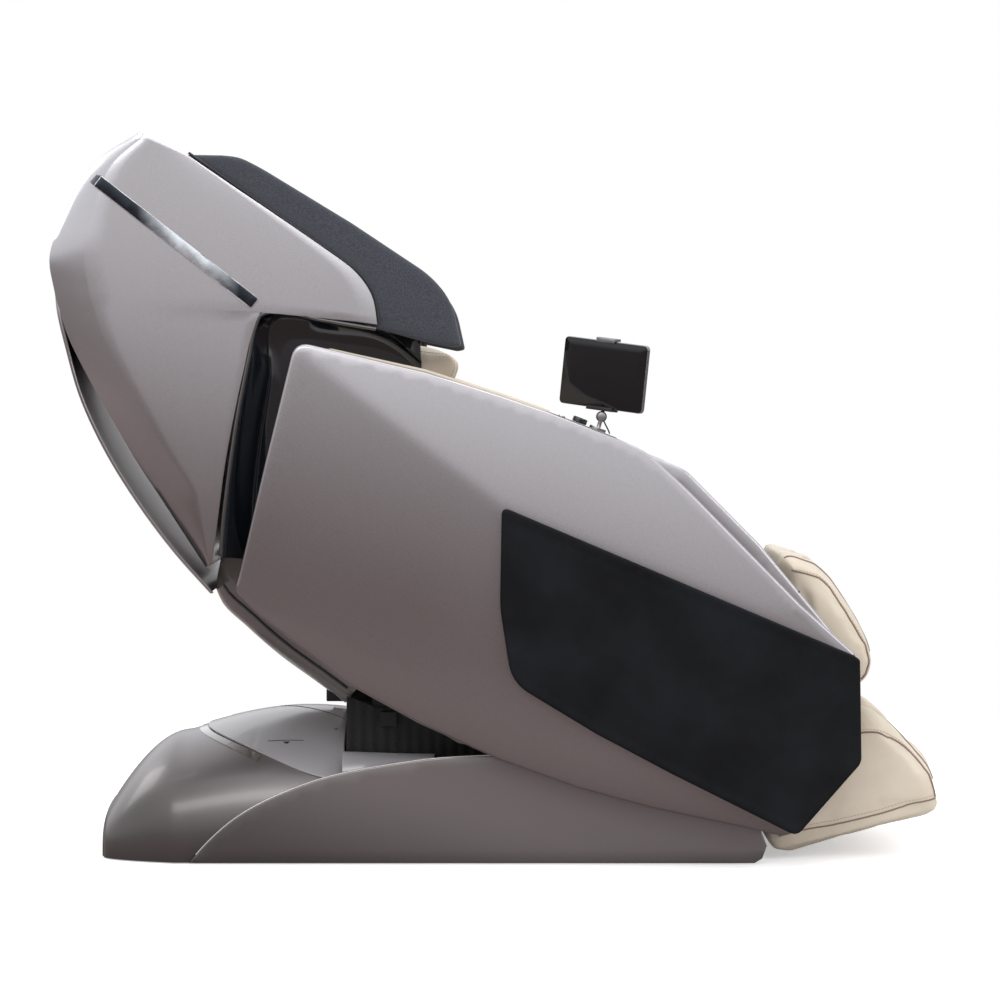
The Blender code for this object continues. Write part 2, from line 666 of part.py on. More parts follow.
PAD = [
    (0.013, 0.628), (0.620, 0.371), (0.629, 0.364), (0.632, 0.187), (0.521, 0.060), (0.305, 0.168),
    (0.175, 0.237), (0.030, 0.325), (0.010, 0.454),
]


def arm_pads():
    outline = rounded(PAD, [0.014, 0, 0, 0.008, 0.014, 0, 0, 0.030, 0], 2)
    for side, label in sides():
        under = [(x, side * (arm_face(max(x, CREASE[1][0]), z) + GAP), z) for x, z in outline]
        over = [(x, side * (ARM_OUT + PAD_PROUD), z) for x, z in inset(outline, 0.006)]
        middle = [(x, side * (ARM_OUT + PAD_PROUD - 0.006), z) for x, z in outline]
        loft("arm_pad_" + label, [under, middle, over], "black_fabric")


# ---- controls and tablet, on the right arm ------------------------------------------------------
PANEL_FROM, PANEL_TO = (0.098, 0.788), (0.213, 0.744)
PANEL_T, PANEL_TOP = 0.0063, 0.001  # thickness, and how far the top stands over the line of the arm's top
PANEL_Y = (-0.372, -0.300)
CONTROL_Y = -0.335  # the controls and the tablet's stand lie on this line
BUTTON_ALONG, DIAL_ALONG, STAND_ALONG = 0.020, 0.052, 0.086  # along the panel from its rear end


def panel_frame(along, up=0.0):
    """A point on the control panel's top, along it from its rear end."""
    a, b = Vector((PANEL_FROM[0], 0, PANEL_FROM[1])), Vector((PANEL_TO[0], 0, PANEL_TO[1]))
    line = (b - a).normalized()
    normal = Vector((-line.z, 0, line.x))
    return a + line * along + normal * up


def control_panel():
    low_a, low_b = panel_frame(0.001, PANEL_TOP - PANEL_T), panel_frame(0.122, PANEL_TOP - PANEL_T)
    top_a, top_b = panel_frame(0.001, PANEL_TOP), panel_frame(0.122, PANEL_TOP)
    outline = [(p.x, p.z) for p in (low_a, low_b, top_b, top_a)]
    panel = prism("control_panel", outline, *PANEL_Y, "dark_gloss")
    bevel(panel, 0.0012, 1)
    top = PANEL_TOP
    pocket = rod(
        "button_pocket", on_panel(BUTTON_ALONG, top - 0.004), on_panel(BUTTON_ALONG, 0.01), 0.0068,
        None, 16,
    )
    cut(panel, [pocket])
    rod(
        "power_button", on_panel(BUTTON_ALONG, top - 0.002), on_panel(BUTTON_ALONG, top + 0.002),
        0.0063, "bright_steel", 16,
    )
    dial = rod(
        "control_dial", on_panel(DIAL_ALONG, top + GAP), on_panel(DIAL_ALONG, top + 0.010), 0.013,
        "dark_gloss", 20,
    )
    bevel(dial, 0.001, 1)


def on_panel(along, up):
    """The same, on the line down the middle of the controls."""
    point = panel_frame(along, up)
    return Vector((point.x, CONTROL_Y, point.z))


BALL_AT = Vector((0.1866, CONTROL_Y, 0.7815))
BALL_R = 0.0075


def tube(name, points, radius, finish, resolution=2):
    line = bpy.data.curves.new(name, "CURVE")
    line.dimensions = "3D"
    line.bevel_depth = radius
    line.bevel_resolution = resolution
    line.use_fill_caps = True
    spline = line.splines.new("POLY")
    spline.points.add(len(points) - 1)
    for target, point in zip(spline.points, points):
        target.co = (*point, 1)
    obj = bpy.data.objects.new(name, line)
    bpy.context.scene.collection.objects.link(obj)
    line.materials.append(material(finish))
    return obj


def tablet_stand():
    top = PANEL_TOP
    foot, foot_top = on_panel(STAND_ALONG, top + GAP), on_panel(STAND_ALONG, top + 0.005)
    stand = rod("tablet_stand", foot, foot_top, 0.015, "black_plastic", 24)
    neck_top = BALL_AT + Vector((-0.001, 0, -0.004))
    neck = rod("neck", foot_top - Vector((0, 0, 0.002)), neck_top, 0.0036, None, 12)
    ball = disc("ball", (BALL_AT.x, BALL_AT.z), BALL_R, BALL_AT.y - 0.007, BALL_AT.y + 0.007, None, 20)
    return union(stand, [neck, ball])


def tablet_matrix():
    turn = Matrix.Rotation(TABLET_YAW, 4, "Z") @ Matrix.Rotation(TABLET_ROLL, 4, "Y")
    return Matrix.Translation(TABLET_AT) @ turn


def in_tablet(obj):
    """The tablet's pieces are drawn round the origin, facing -Y, and then put in place."""
    obj.data.transform(tablet_matrix())
    return obj


def tablet_pieces():
    half_w, half_h, half_t = TABLET_W / 2, TABLET_H / 2, TABLET_T / 2
    outline = rounded(
        [(-half_w, -half_h), (half_w, -half_h), (half_w, half_h), (-half_w, half_h)], 0.009, 3
    )
    in_tablet(prism("tablet", outline, -half_t, half_t, "screen_glass"))
    lip_y = -half_t - 0.0025
    back_y = half_t + GAP
    cradle = box(
        "tablet_cradle", (-0.028, back_y, -half_h - 0.004), (0.028, back_y + 0.006, 0.022),
        "black_plastic",
    )
    shelf = box("shelf", (-0.027, lip_y, -half_h - 0.0035), (0.027, back_y + 0.003, -half_h - GAP), None)
    lip = box(
        "lip", (-0.026, lip_y - 0.001, -half_h - 0.003), (0.026, -half_t - GAP, -half_h + 0.003), None
    )
    for piece in (cradle, shelf, lip):
        in_tablet(piece)
    union(cradle, [shelf, lip])
    cradle_foot = tablet_matrix() @ Vector((0, back_y + 0.004, -half_h - 0.001))
    hub = disc("hub", (BALL_AT.x, BALL_AT.z), 0.0095, BALL_AT.y + 0.0073, BALL_AT.y + 0.0133, None, 20)
    hub_low = Vector((BALL_AT.x, BALL_AT.y + 0.0103, BALL_AT.z))
    neck = rod("head_neck", hub_low, cradle_foot, 0.0032, None, 12)
    union(cradle, [hub, neck])
    jaw = box(
        "tablet_jaw", (-0.020, lip_y, half_h + GAP), (0.020, back_y + 0.006, half_h + 0.005),
        "black_plastic",
    )
    jaw_lip = box(
        "jaw_lip", (-0.018, lip_y - 0.001, half_h - 0.003), (0.018, -half_t - GAP, half_h + 0.004),
        None,
    )
    jaw_stem = box("jaw_stem", (-0.010, back_y, 0.0223), (0.010, back_y + 0.005, half_h + 0.002), None)
    for piece in (jaw, jaw_lip, jaw_stem):
        in_tablet(piece)
    union(jaw, [jaw_lip, jaw_stem])


CABLE_R = 0.0013
CABLE_ROUTE = [
    (0.1880, -0.3214, 0.7800), (0.1881, -0.3180, 0.7800),
    (0.1886, -0.3148, 0.7791), (0.1896, -0.3121, 0.7769),
    (0.1911, -0.3104, 0.7737), (0.1930, -0.3097, 0.7697),
    (0.1952, -0.3098, 0.7652), (0.1975, -0.3104, 0.7608),
    (0.1995, -0.3114, 0.7565), (0.2006, -0.3125, 0.7535), (0.2010, -0.3131, 0.7516),
]


# ---- backrest ----------------------------------------------------------------------------------
BACK_RAIL = (0.190, 0.212)
BACK_RAIL_OUT = (-0.101, -0.0203)
BACK_LENGTH = 0.720
SCREW_R = 0.006


def back_frame():
    frame = back_block(
        "back_frame", (BACK_LENGTH - 0.030, BACK_LENGTH), (-0.098, -0.062), (-0.20, 0.20),
        "frame_steel",
    )
    parts = [back_block("low_cross", (0.0, 0.030), (-0.098, -0.062), (-0.20, 0.20), None)]
    for side, _ in sides():
        parts.append(
            back_block("rail", (-0.010, BACK_LENGTH + 0.01), BACK_RAIL_OUT, span(side, *BACK_RAIL), None)
        )
        ear = [
            on_back(a, b)
            for a, b in ((-0.030, -0.090), (-0.024, 0.024), (0.022, 0.026), (0.060, -0.090))
        ]
        parts.append(prism("ear", [(p.x, p.z) for p in ear], *span(side, EAR_IN, EAR_IN + EAR), None))
        parts.append(
            back_block("ear_tie", (0.003, 0.027), (-0.092, -0.066), span(side, 0.206, EAR_IN + 0.004), None)
        )
        parts.append(
            disc("pin", HIP_PIVOT, PIN_R, *span(side, EAR_IN + 0.003, EAR_IN + 2 * EAR + GAP), None, 24)
        )
        parts.append(
            back_block(
                "wing_stay", (0.600, 0.625), (-0.095, -0.070),
                span(side, 0.205, HOOD_HALF - WALL - GAP), None,
            )
        )
    screw_low, screw_high = on_back(0.010, -0.080), on_back(BACK_LENGTH - 0.010, -0.080)
    parts.append(rod("lift_screw", screw_low, screw_high, SCREW_R, None, 12))
    lever = [(-0.185, 0.440), (-0.215, 0.440), (-0.226, 0.284), (-0.204, 0.277)]
    parts.append(
        prism(
            "lever_bar", [(-0.224, 0.402), (-0.200, 0.402), (-0.200, 0.424), (-0.224, 0.424)], -0.24,
            0.24, None,
        )
    )
    for low, high in ((-CLEVIS_OUT, -CLEVIS_IN), (CLEVIS_IN, CLEVIS_OUT)):
        parts.append(prism("lever", lever, RECLINE_ACT_Y + low, RECLINE_ACT_Y + high, None))
    parts.append(
        disc("lever_pin", RECLINE_HEAD, 0.005, RECLINE_ACT_Y - 0.019, RECLINE_ACT_Y + 0.019, None, 12)
    )
    return union(frame, parts)


# back edge and front edge of the hood's side, as (x, z) pairs from the roof down
HOOD_STATIONS = [
    ((-0.622, 1.278), (-0.530, 1.234)),
    ((-0.700, 1.222), (-0.420, 1.156)),
    ((-0.752, 1.130), (-0.316, 1.085)),
    ((-0.778, 1.060), (-0.215, 1.010)),
    ((-0.768, 0.990), (-0.202, 0.941)),
]
HOOD_LOWER = [
    ((-0.762, 0.970), (-0.405, 0.948)),
    ((-0.750, 0.930), (-0.418, 0.930)),
    ((-0.719, 0.864), (-0.432, 0.868)),
    ((-0.672, 0.780), (-0.449, 0.786)),
    ((-0.622, 0.694), (-0.465, 0.700)),
    ((-0.560, 0.602), (-0.477, 0.610)),
    ((-0.503, 0.519), (-0.487, 0.532)),
]
HOOD_BULGE = 0.015


def hood_row(back, front):
    """One line round the hood: from the right front edge round the back to the left front edge."""
    b, f = Vector((back[0], 0, back[1])), Vector((front[0], 0, front[1]))
    forward = (f - b).normalized()
    depth = (f - b).length
    half = HOOD_HALF
    corner = [
        (half, 1.0 * depth), (half, 0.5 * depth), (half - 0.001, min(0.11, 0.45 * depth)),
        (half - 0.014, min(0.055, 0.3 * depth)), (half - 0.050, min(0.018, 0.2 * depth)),
        (half - 0.120, 0.003), (0.0, -HOOD_BULGE),
    ]
    right = [b + forward * reach + Vector((0, -y, 0)) for y, reach in corner]
    left = [b + forward * reach + Vector((0, y, 0)) for y, reach in corner[-2::-1]]
    return right + left


def hood_shell():
    rows = [hood_row(back, front) for back, front in HOOD_STATIONS]
    rows += [hood_row(back, front) for back, front in HOOD_LOWER]
    return skin("hood_shell", rows, WALL, (-0.50, 0, 0.95), "shell_paint", caps=(0,))


def back_cover():
    """The shield over the lower back, standing behind the hood shell."""
    path = [
        (-0.793, 1.022), (-0.780, 0.962), (-0.761, 0.902), (-0.733, 0.814), (-0.687, 0.718),
        (-0.632, 0.630),
    ]
    path += [(-0.562, 0.537), (-0.502, 0.470)]
    halves = [0.150, 0.225, 0.275, 0.305, 0.322, 0.330, 0.334, 0.336]
    rows = []
    for (x, z), half in zip(path, halves):
        lift = Vector((0.030, 0, 0.010))  # how the sides wrap forward
        across = [
            (-1, 0.85), (-0.93, 0.35), (-0.78, 0.1), (-0.4, 0), (0, 0), (0.4, 0), (0.78, 0.1),
            (0.93, 0.35), (1, 0.85),
        ]
        rows.append([(x + lift.x * k * 0.4, half * s, z + lift.z * k * 0.4) for s, k in across])
    return skin("back_cover", rows, 0.003, (-0.30, 0, 0.80), "base_paint")


def hood_band():
    """The dark strip let into the hood: along both sides and round the back."""
    def at(share, lift):
        """A point of the strip's middle line on the side: share 0 at the rear, 1 at the front end."""
        rear, front = Vector((-0.700, 0, 1.201)), Vector((-0.411, 0, 0.975))
        return rear + (front - rear) * share + Vector((0.012, 0, 0.017)) * lift
    strips = []
    for side, label in sides():
        outline = [(p.x, p.z) for p in (at(1.0, -0.5), at(1.0, 0.5), at(0.20, 0.5), at(0.20, -0.5))]
        low, high = span(side, HOOD_HALF + GAP, HOOD_HALF + GAP + 0.0015)
        strips.append(prism("hood_strip_" + label, outline, low, high, "dark_gloss"))
    return strips


HOOD_PAD = [
    (-0.530, 1.232), (-0.444, 1.229), (-0.404, 1.211), (-0.246, 1.115), (-0.109, 1.023), (-0.075, 0.985),
    (-0.057, 0.906), (-0.130, 0.913), (-0.204, 0.932), (-0.270, 0.960), (-0.300, 1.030), (-0.430, 1.120),
]


def hood_pads():
    outline = rounded(HOOD_PAD, [0, 0.02, 0.03, 0, 0.03, 0.03, 0.008, 0, 0, 0, 0, 0], 2)
    for side, label in sides():
        low, high = span(side, TRIM_IN + 0.004, HOOD_HALF - WALL - GAP)
        bevel(prism("hood_pad_" + label, outline, low, high, "black_fabric"), 0.006, 2)


def side_trims():
    border = [
        (-0.470, 0.580), (-0.458, 0.690), (-0.441, 0.800), (-0.424, 0.885), (-0.409, 0.945),
        (-0.396, 0.958), (-0.380, 0.957), (-0.280, 0.937), (-0.206, 0.922), (-0.130, 0.904),
    ]
    front = [
        (-0.400, 0.540), (-0.360, 0.560), (-0.330, 0.600), (-0.290, 0.640), (-0.250, 0.680),
        (-0.230, 0.700), (-0.215, 0.720), (-0.180, 0.740), (-0.150, 0.770), (-0.125, 0.800),
    ]
    for side, label in sides():
        rim = [(x, side * (HOOD_HALF - WALL - GAP), z) for x, z in border[:8]]
        rim += [(x, side * (TRIM_FACE + 0.004), z) for x, z in border[8:]]
        seam = [(x + 0.004, side * TRIM_FACE, z - 0.004) for x, z in border]
        face = [(x, side * TRIM_FACE, z) for x, z in front]
        skin("side_trim_" + label, [rim, seam, face], TRIM_WALL, (-0.25, 0, 0.78), "dark_gloss")


def back_cushion():
    shape = [
        (0.035, -0.020), (0.035, 0.030), (0.090, 0.052), (0.300, 0.040), (0.500, 0.050), (0.545, 0.030),
        (0.545, -0.020),
    ]
    outline = rounded(
        [(on_back(a, b).x, on_back(a, b).z) for a, b in shape], [0, 0.02, 0.03, 0, 0.03, 0.02, 0], 2
    )
    return bevel(prism("back_cushion", outline, -CUSHION_HALF, CUSHION_HALF, "cream_leather"), 0.012, 2)


def head_pillow():
    low, high = 0.5455, 0.725
    shape = [(low, -0.020), (low, 0.060), (0.580, 0.085), (0.660, 0.085), (high, 0.040), (high, -0.020)]
    outline = rounded(
        [(on_back(a, b).x, on_back(a, b).z) for a, b in shape], [0, 0.03, 0.03, 0.03, 0.02, 0], 2
    )
    return bevel(prism("head_pillow", outline, -0.165, 0.165, "cream_leather"), 0.02, 2)


def shoulder_pads():
    shape = [
        (-0.278, 0.930), (-0.205, 0.916), (-0.075, 0.895), (-0.060, 0.880), (-0.070, 0.845),
        (-0.110, 0.815), (-0.268, 0.785),
    ]
    outline = rounded(shape, [0.01, 0, 0.015, 0.02, 0.03, 0.03, 0.01], 2)
    for side, label in sides():
        low, high = span(side, 0.170, TRIM_FACE - TRIM_WALL - GAP)
        bevel(prism("shoulder_pad_" + label, outline, low, high, "cream_leather"), 0.012, 2)


# ---- massage mechanism -------------------------------------------------------------------------
KNEAD_AT = (0.260, -0.100)  # along and out of the back
ROLLER_AT = (0.300, -0.062)
ROLLER_R = 0.030


def massage_mechanism():
    carriage = back_block(
        "massage_carriage", (0.200, 0.320), (-0.160, -0.118), (-0.150, 0.150), "black_plastic"
    )
    parts = [back_block("nut", (0.235, 0.285), (-0.125, -0.062), (-0.022, 0.022), None)]
    for side, _ in sides():
        parts.append(back_block("wing", (0.210, 0.310), (-0.150, -0.103), span(side, 0.130, 0.225), None))
        parts.append(
            back_block(
                "guide", (0.220, 0.300), (-0.122, -0.030), span(side, 0.172, BACK_RAIL[0] - GAP), None
            )
        )
    centre = on_back(*KNEAD_AT)
    parts.append(
        rod("knead_shaft", centre + Vector((0, -0.180, 0)), centre + Vector((0, 0.180, 0)), 0.008, None, 16)
    )
    union(carriage, parts)
    screw = rod("screw_bore", on_back(0.1, -0.080), on_back(0.4, -0.080), SCREW_R + PIN_FIT, None, 12)
    cut(carriage, [screw])
    for side, label in sides():
        kneading_arm(side, label)


def kneading_arm(side, label):
    low, high = span(side, 0.060, 0.076)
    pivot, axle = on_back(*KNEAD_AT), on_back(*ROLLER_AT)
    arm = rod(
        "kneading_arm_" + label, (pivot.x, low, pivot.z), (pivot.x, high, pivot.z), 0.017,
        "bright_steel", 20,
    )
    link = [on_back(a, b) for a, b in ((0.252, -0.092), (0.270, -0.108), (0.310, -0.070), (0.294, -0.052))]
    pin = rod("roller_pin", (axle.x, side * 0.062, axle.z), (axle.x, side * 0.120, axle.z), 0.006, None, 16)
    union(arm, [prism("link", [(p.x, p.z) for p in link], low + 0.001, high - 0.001, None), pin])
    cut(arm, [disc("knead_bore", (pivot.x, pivot.z), 0.008 + PIN_FIT, -0.2, 0.2, None, 16)])
    low, high = span(side, 0.0775, 0.118)
    roller = disc("massage_roller_" + label, (axle.x, axle.z), ROLLER_R, low, high, "black_plastic", 20)
    bevel(roller, 0.010, 1)
    cut(roller, [disc("roller_bore", (axle.x, axle.z), 0.006 + PIN_FIT, low - 0.01, high + 0.01, None, 16)])


# ---- leg rest ----------------------------------------------------------------------------------
LEG_BACK, CALF_BACK = 0.462, 0.505
CALF = [
    (CALF_BACK, 0.546), (0.530, 0.545), (0.569, 0.528), (0.594, 0.500), (0.628, 0.447), (0.663, 0.384),
    (0.672, 0.350), (0.664, 0.322), (0.646, 0.304), (CALF_BACK, 0.304),
]
FOOT_TOP = 0.276  # top of the foot unit at its back
FOOT = [
    (0.474, FOOT_TOP), (0.648, 0.278), (0.668, 0.274),
    (0.711, 0.241), (0.748, 0.202), (0.778, 0.158), (0.790, 0.120),
    (0.793, 0.098), (0.788, 0.082), (0.627, 0.038), (0.508, 0.008), (0.488, 0.008), (0.474, 0.034),
]
LEG_WALL, LEG_RIB = 0.060, 0.036  # side wall and half the middle rib of the leg channels
SLIDE_ROD_AT, SLIDE_ROD_R, SLIDE_ROD_Y = 0.492, 0.009, 0.120
SOLE = 0.075  # height of the foot wells' floor
ROLLER_LINE, SOLE_ROLLER_R = (0.610, 0.066), 0.020


def leg_frame():
    frame = box("leg_frame", (LEG_BACK, -0.225, 0.318), (CALF_BACK - GAP, 0.225, 0.485), "frame_steel")
    parts = []
    for side, _ in sides():
        ear = rounded(
            [(0.440, 0.500), (0.470, 0.440), (0.500, 0.440), (0.500, 0.500), (0.474, 0.540), (0.446, 0.540)],
            0.008, 2,
        )
        parts.append(prism("ear", ear, *span(side, EAR_IN, EAR_IN + EAR), None))
        parts.append(
            box(
                "ear_tie", (0.474, span(side, 0.220, 0.246)[0], 0.446),
                (0.498, span(side, 0.220, 0.246)[1], 0.482), None,
            )
        )
        parts.append(
            disc("pin", KNEE_PIVOT, PIN_R, *span(side, EAR_IN + 0.003, EAR_IN + 2 * EAR + GAP), None, 24)
        )
        y = side * SLIDE_ROD_Y
        rod_end = FOOT_TOP - FOOT_TRAVEL - 0.041
        parts.append(
            rod("slide_rod", (SLIDE_ROD_AT, y, 0.33), (SLIDE_ROD_AT, y, rod_end), SLIDE_ROD_R, None, 16)
        )
    hollow = box("hollow", (LEG_BACK - 0.01, -0.205, 0.335), (CALF_BACK - 0.012, 0.205, 0.468), None)
    cut(frame, [hollow])
    return union(frame, parts)


def channel(name, x_span, z_span, side):
    """The cutter of one leg channel, round in its corners."""
    x0, x1 = x_span
    y0, y1 = span(side, LEG_RIB, LEG_HALF - LEG_WALL)
    across = rounded([(x1, y0), (x1, y1), (x0, y1), (x0, y0)], [0, 0, 0.045, 0.045], 3)
    return loft(name, [[(x, y, z) for x, y in across] for z in z_span], None)


def calf_unit():
    unit = prism("calf_unit", CALF, -LEG_HALF, LEG_HALF, "cream_leather")
    bevel(unit, 0.012, 2, 50)
    return cut(unit, [channel("calf_channel", (0.555, 0.80), (0.20, 0.70), side) for side, _ in sides()])


def foot_unit():
    unit = prism("foot_unit", FOOT, -LEG_HALF, LEG_HALF, "cream_leather")
    bevel(unit, 0.010, 2, 50)
    cutters = [channel("foot_well", (0.545, 0.745), (SOLE, 0.50), side) for side, _ in sides()]
    for side, _ in sides():
        y = side * SLIDE_ROD_Y
        bore = ((SLIDE_ROD_AT, y, 0.05), (SLIDE_ROD_AT, y, 0.32), SLIDE_ROD_R + PIN_FIT)
        cutters.append(rod("rod_bore", *bore, None, 16))
    tunnel = SOLE_ROLLER_R + 0.002
    reach = LEG_HALF - LEG_WALL
    cutters.append(disc("roller_tunnel", ROLLER_LINE, tunnel, -reach, reach, None, 20))
    cutters.append(
        disc("roller_bearing", ROLLER_LINE, AXLE_R + PIN_FIT, -reach - 0.020, reach + 0.020, None, 16)
    )
    return cut(unit, cutters)


def sole_roller():
    reach = LEG_HALF - LEG_WALL - 0.002
    roller = disc("sole_roller", ROLLER_LINE, SOLE_ROLLER_R - 0.006, -reach, reach, "black_plastic", 12)
    lobes = []
    for side, _ in sides():
        for k in range(2):
            y = side * (LEG_RIB + 0.050 + 0.075 * k)
            lobes.append(disc("lobe", ROLLER_LINE, SOLE_ROLLER_R, y - 0.018, y + 0.018, None, 16))
    axle = disc("axle", ROLLER_LINE, AXLE_R, -reach - 0.018, reach + 0.018, None, 12)
    return union(roller, lobes + [axle])


# ---- assembly ----------------------------------------------------------------------------------
def main():
    clear_scene()
    base_frame()
    base_feet()
    wheels()
    base_side_covers()
    rear_cover()
    base_hatch()
    base_front_cover()
    power_unit()
    slide_carriage()
    seat_frame()
    seat_cushion()
    lower_shell()
    arm_covers()
    arm_bodies()
    arm_pads()
    control_panel()
    tablet_stand()
    tablet_pieces()
    tube("usb_cable", CABLE_ROUTE, CABLE_R, "black_plastic")
    back_frame()
    hood_shell()
    hood_band()
    back_cover()
    hood_pads()
    side_trims()
    back_cushion()
    head_pillow()
    shoulder_pads()
    massage_mechanism()
    leg_frame()
    calf_unit()
    foot_unit()
    sole_roller()
    leg_drive()
    actuator("tilt_actuator", TILT_FOOT, TILT_HEAD, TILT_ACT_Y, 0.170, 0.085, TILT_PIVOT, TILT_TURN)
    recline_pins = (RECLINE_FOOT, RECLINE_HEAD, RECLINE_ACT_Y)
    actuator("recline_actuator", *recline_pins, 0.160, 0.110, HIP_PIVOT, RECLINE_TURN)


main()
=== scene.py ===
"""Looks of a home massage chair: painted shells, upholstery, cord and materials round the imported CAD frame."""
import math

import bmesh
import bpy
import numpy as np
from mathutils import Matrix, Vector, geometry


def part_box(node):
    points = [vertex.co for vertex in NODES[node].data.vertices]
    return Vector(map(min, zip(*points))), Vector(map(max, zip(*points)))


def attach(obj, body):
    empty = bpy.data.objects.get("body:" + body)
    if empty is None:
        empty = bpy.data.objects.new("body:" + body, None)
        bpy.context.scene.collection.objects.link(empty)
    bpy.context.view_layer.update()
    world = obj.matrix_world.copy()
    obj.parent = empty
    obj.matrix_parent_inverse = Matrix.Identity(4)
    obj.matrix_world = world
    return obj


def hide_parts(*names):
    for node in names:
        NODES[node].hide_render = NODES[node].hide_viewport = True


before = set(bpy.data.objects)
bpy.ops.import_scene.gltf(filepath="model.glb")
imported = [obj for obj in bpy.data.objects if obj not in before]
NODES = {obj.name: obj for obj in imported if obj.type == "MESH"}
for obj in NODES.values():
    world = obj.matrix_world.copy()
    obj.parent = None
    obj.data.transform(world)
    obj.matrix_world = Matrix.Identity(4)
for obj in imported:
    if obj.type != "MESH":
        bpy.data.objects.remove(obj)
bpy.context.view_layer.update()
SIDES = ((-1, "right"), (1, "left"))

# Driving sizes, in metres, taken from the frame where it holds them.
HOOD_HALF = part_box("hood_shell")[1].y
ARM_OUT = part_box("arm_cover_left")[1].y
ARM_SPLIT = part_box("arm_cover_left")[0].y
ARM_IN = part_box("arm_body_left")[0].y
PAD_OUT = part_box("arm_pad_left")[1].y
BASE_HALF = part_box("base_side_cover_left")[1].y
REAR_HALF = BASE_HALF - 0.0063  # the rear cover stands inside the side covers
TRIM_FACE = 0.2765  # recessed face of the glossy side trims
LEG_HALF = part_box("calf_unit")[1].y
FLOOR_CLEAR = 0.002

# The seat back's own directions: up along it, and out of it towards the sitter.
HIP = Vector((-0.200, 0, 0.420))
BACK_UP = Vector((-0.343, 0, 0.939)).normalized()
BACK_OUT = Vector((BACK_UP.z, 0, -BACK_UP.x))


# ---- materials ---------------------------------------------------------------------------------
class Graph:
    """A tree of shader nodes, with short ways to add to it."""

    def __init__(self, tree):
        self.tree = tree

    def node(self, kind, links=(), **settings):
        """A new node: links gives each socket another node's output, or a value."""
        made = self.tree.nodes.new(kind)
        for key, value in settings.items():
            setattr(made, key, value)
        for socket, source in dict(links).items():
            if isinstance(source, bpy.types.NodeSocket):
                self.tree.links.new(source, made.inputs[socket])
            else:
                made.inputs[socket].default_value = source
        return made

    def spread(self, value, low, high, to_low=0.0, to_high=1.0, **settings):
        links = {0: value, 1: low, 2: high, 3: to_low, 4: to_high}
        return self.node("ShaderNodeMapRange", links, **settings).outputs[0]

    def sum(self, a, b, operation="ADD"):
        return self.node("ShaderNodeMath", {0: a, 1: b}, operation=operation).outputs[0]

    def blend(self, factor, low, high):
        """A colour that runs from low to high with the factor; low may be another node's output."""
        low = low if isinstance(low, bpy.types.NodeSocket) else (*low, 1)
        links = {"Factor": factor, "A": low, "B": (*high, 1)}
        return self.node("ShaderNodeMix", links, data_type="RGBA").outputs["Result"]


class Finish(Graph):
    """A procedural material on a Principled shader. Its patterns are measured in the object's own metres."""

    def __init__(self, name, colour, **inputs):
        self.made = bpy.data.materials.new(name)
        self.made.use_nodes = True
        super().__init__(self.made.node_tree)
        self.shader = self.tree.nodes["Principled BSDF"]
        self.shader.inputs["Base Color"].default_value = (*colour, 1)
        for key, value in inputs.items():
            self.shader.inputs[key.replace("_", " ")].default_value = value
        self.coords = self.node("ShaderNodeTexCoord").outputs["Object"]

    def stretched(self, scale):
        mapping = self.node("ShaderNodeMapping", {"Vector": self.coords})
        mapping.inputs["Scale"].default_value = scale
        return mapping.outputs[0]

    def noise(self, scale, detail=2.0, stretch=(1, 1, 1)):
        links = {"Vector": self.stretched(stretch), "Scale": scale, "Detail": detail}
        return self.node("ShaderNodeTexNoise", links).outputs["Fac"]

    def cells(self, scale, stretch=(1, 1, 1), feature="F1"):
        links = {"Vector": self.stretched(stretch), "Scale": scale}
        return self.node("ShaderNodeTexVoronoi", links, feature=feature).outputs["Distance"]

    def tint(self, factor, low, high):
        """The base colour runs from low to high with the factor."""
        self.tree.links.new(self.blend(factor, low, high), self.shader.inputs["Base Color"])

    def rough(self, value, low, high):
        self.tree.links.new(self.spread(value, 0.3, 0.7, low, high), self.shader.inputs["Roughness"])

    def bump(self, height, distance, strength=1.0):
        links = {"Height": height, "Distance": distance, "Strength": strength}
        made = self.node("ShaderNodeBump", links)
        self.tree.links.new(made.outputs[0], self.shader.inputs["Normal"])


PAINTED_SHADE_FORWARD = 0.35  # how much the painted shade counts a step forwards, next to a step up


def metallic_paint(name, low, high, roughness, metallic=0.78, coat=0.5, painted_shade_heights=None):
    """Metallic lacquer: fine flakes, and clear coat with a trace of orange peel. With its last argument, two heights
    in metres, its tone runs from low at the first to high at the second: painted shade low down, painted light high up."""
    paint = Finish(name, low, Metallic=metallic, Coat_Weight=coat, Coat_Roughness=0.08, Coat_IOR=1.4)
    flakes = paint.noise(2600.0, 1.0)
    tone_and_painted_shade = paint.spread(paint.sum(flakes, paint.noise(2.2, 2.0)), 0.6, 1.4)
    # Painted light and shade: the tone turns from the low colour to the high one with height and a step forwards, where
    # the light falls.
    if painted_shade_heights:
        place = paint.node("ShaderNodeSeparateXYZ", {"Vector": paint.coords}).outputs
        height = paint.sum(place["Z"], paint.sum(place["X"], PAINTED_SHADE_FORWARD, "MULTIPLY"))
        rise = paint.spread(height, *painted_shade_heights, interpolation_type="SMOOTHSTEP")
        tone_and_painted_shade = paint.sum(rise, paint.spread(tone_and_painted_shade, 0, 1, -0.06, 0.06))
    paint.tint(tone_and_painted_shade, low, high)
    paint.rough(flakes, roughness - 0.03, roughness + 0.05)
    paint.bump(paint.noise(160.0, 1.0), 0.00003, 0.5)
    return paint.made


def gloss_plastic(name, low, high, roughness=0.05):
    plastic = Finish(name, low, Coat_Weight=0.9, Coat_Roughness=0.02, Coat_IOR=1.5)
    plastic.tint(plastic.spread(plastic.noise(3.0, 1.0), 0.35, 0.65), low, high)
    plastic.rough(plastic.noise(35.0, 3.0), roughness, roughness + 0.04)
    plastic.bump(plastic.noise(45.0, 1.0), 0.00004, 0.4)
    return plastic.made


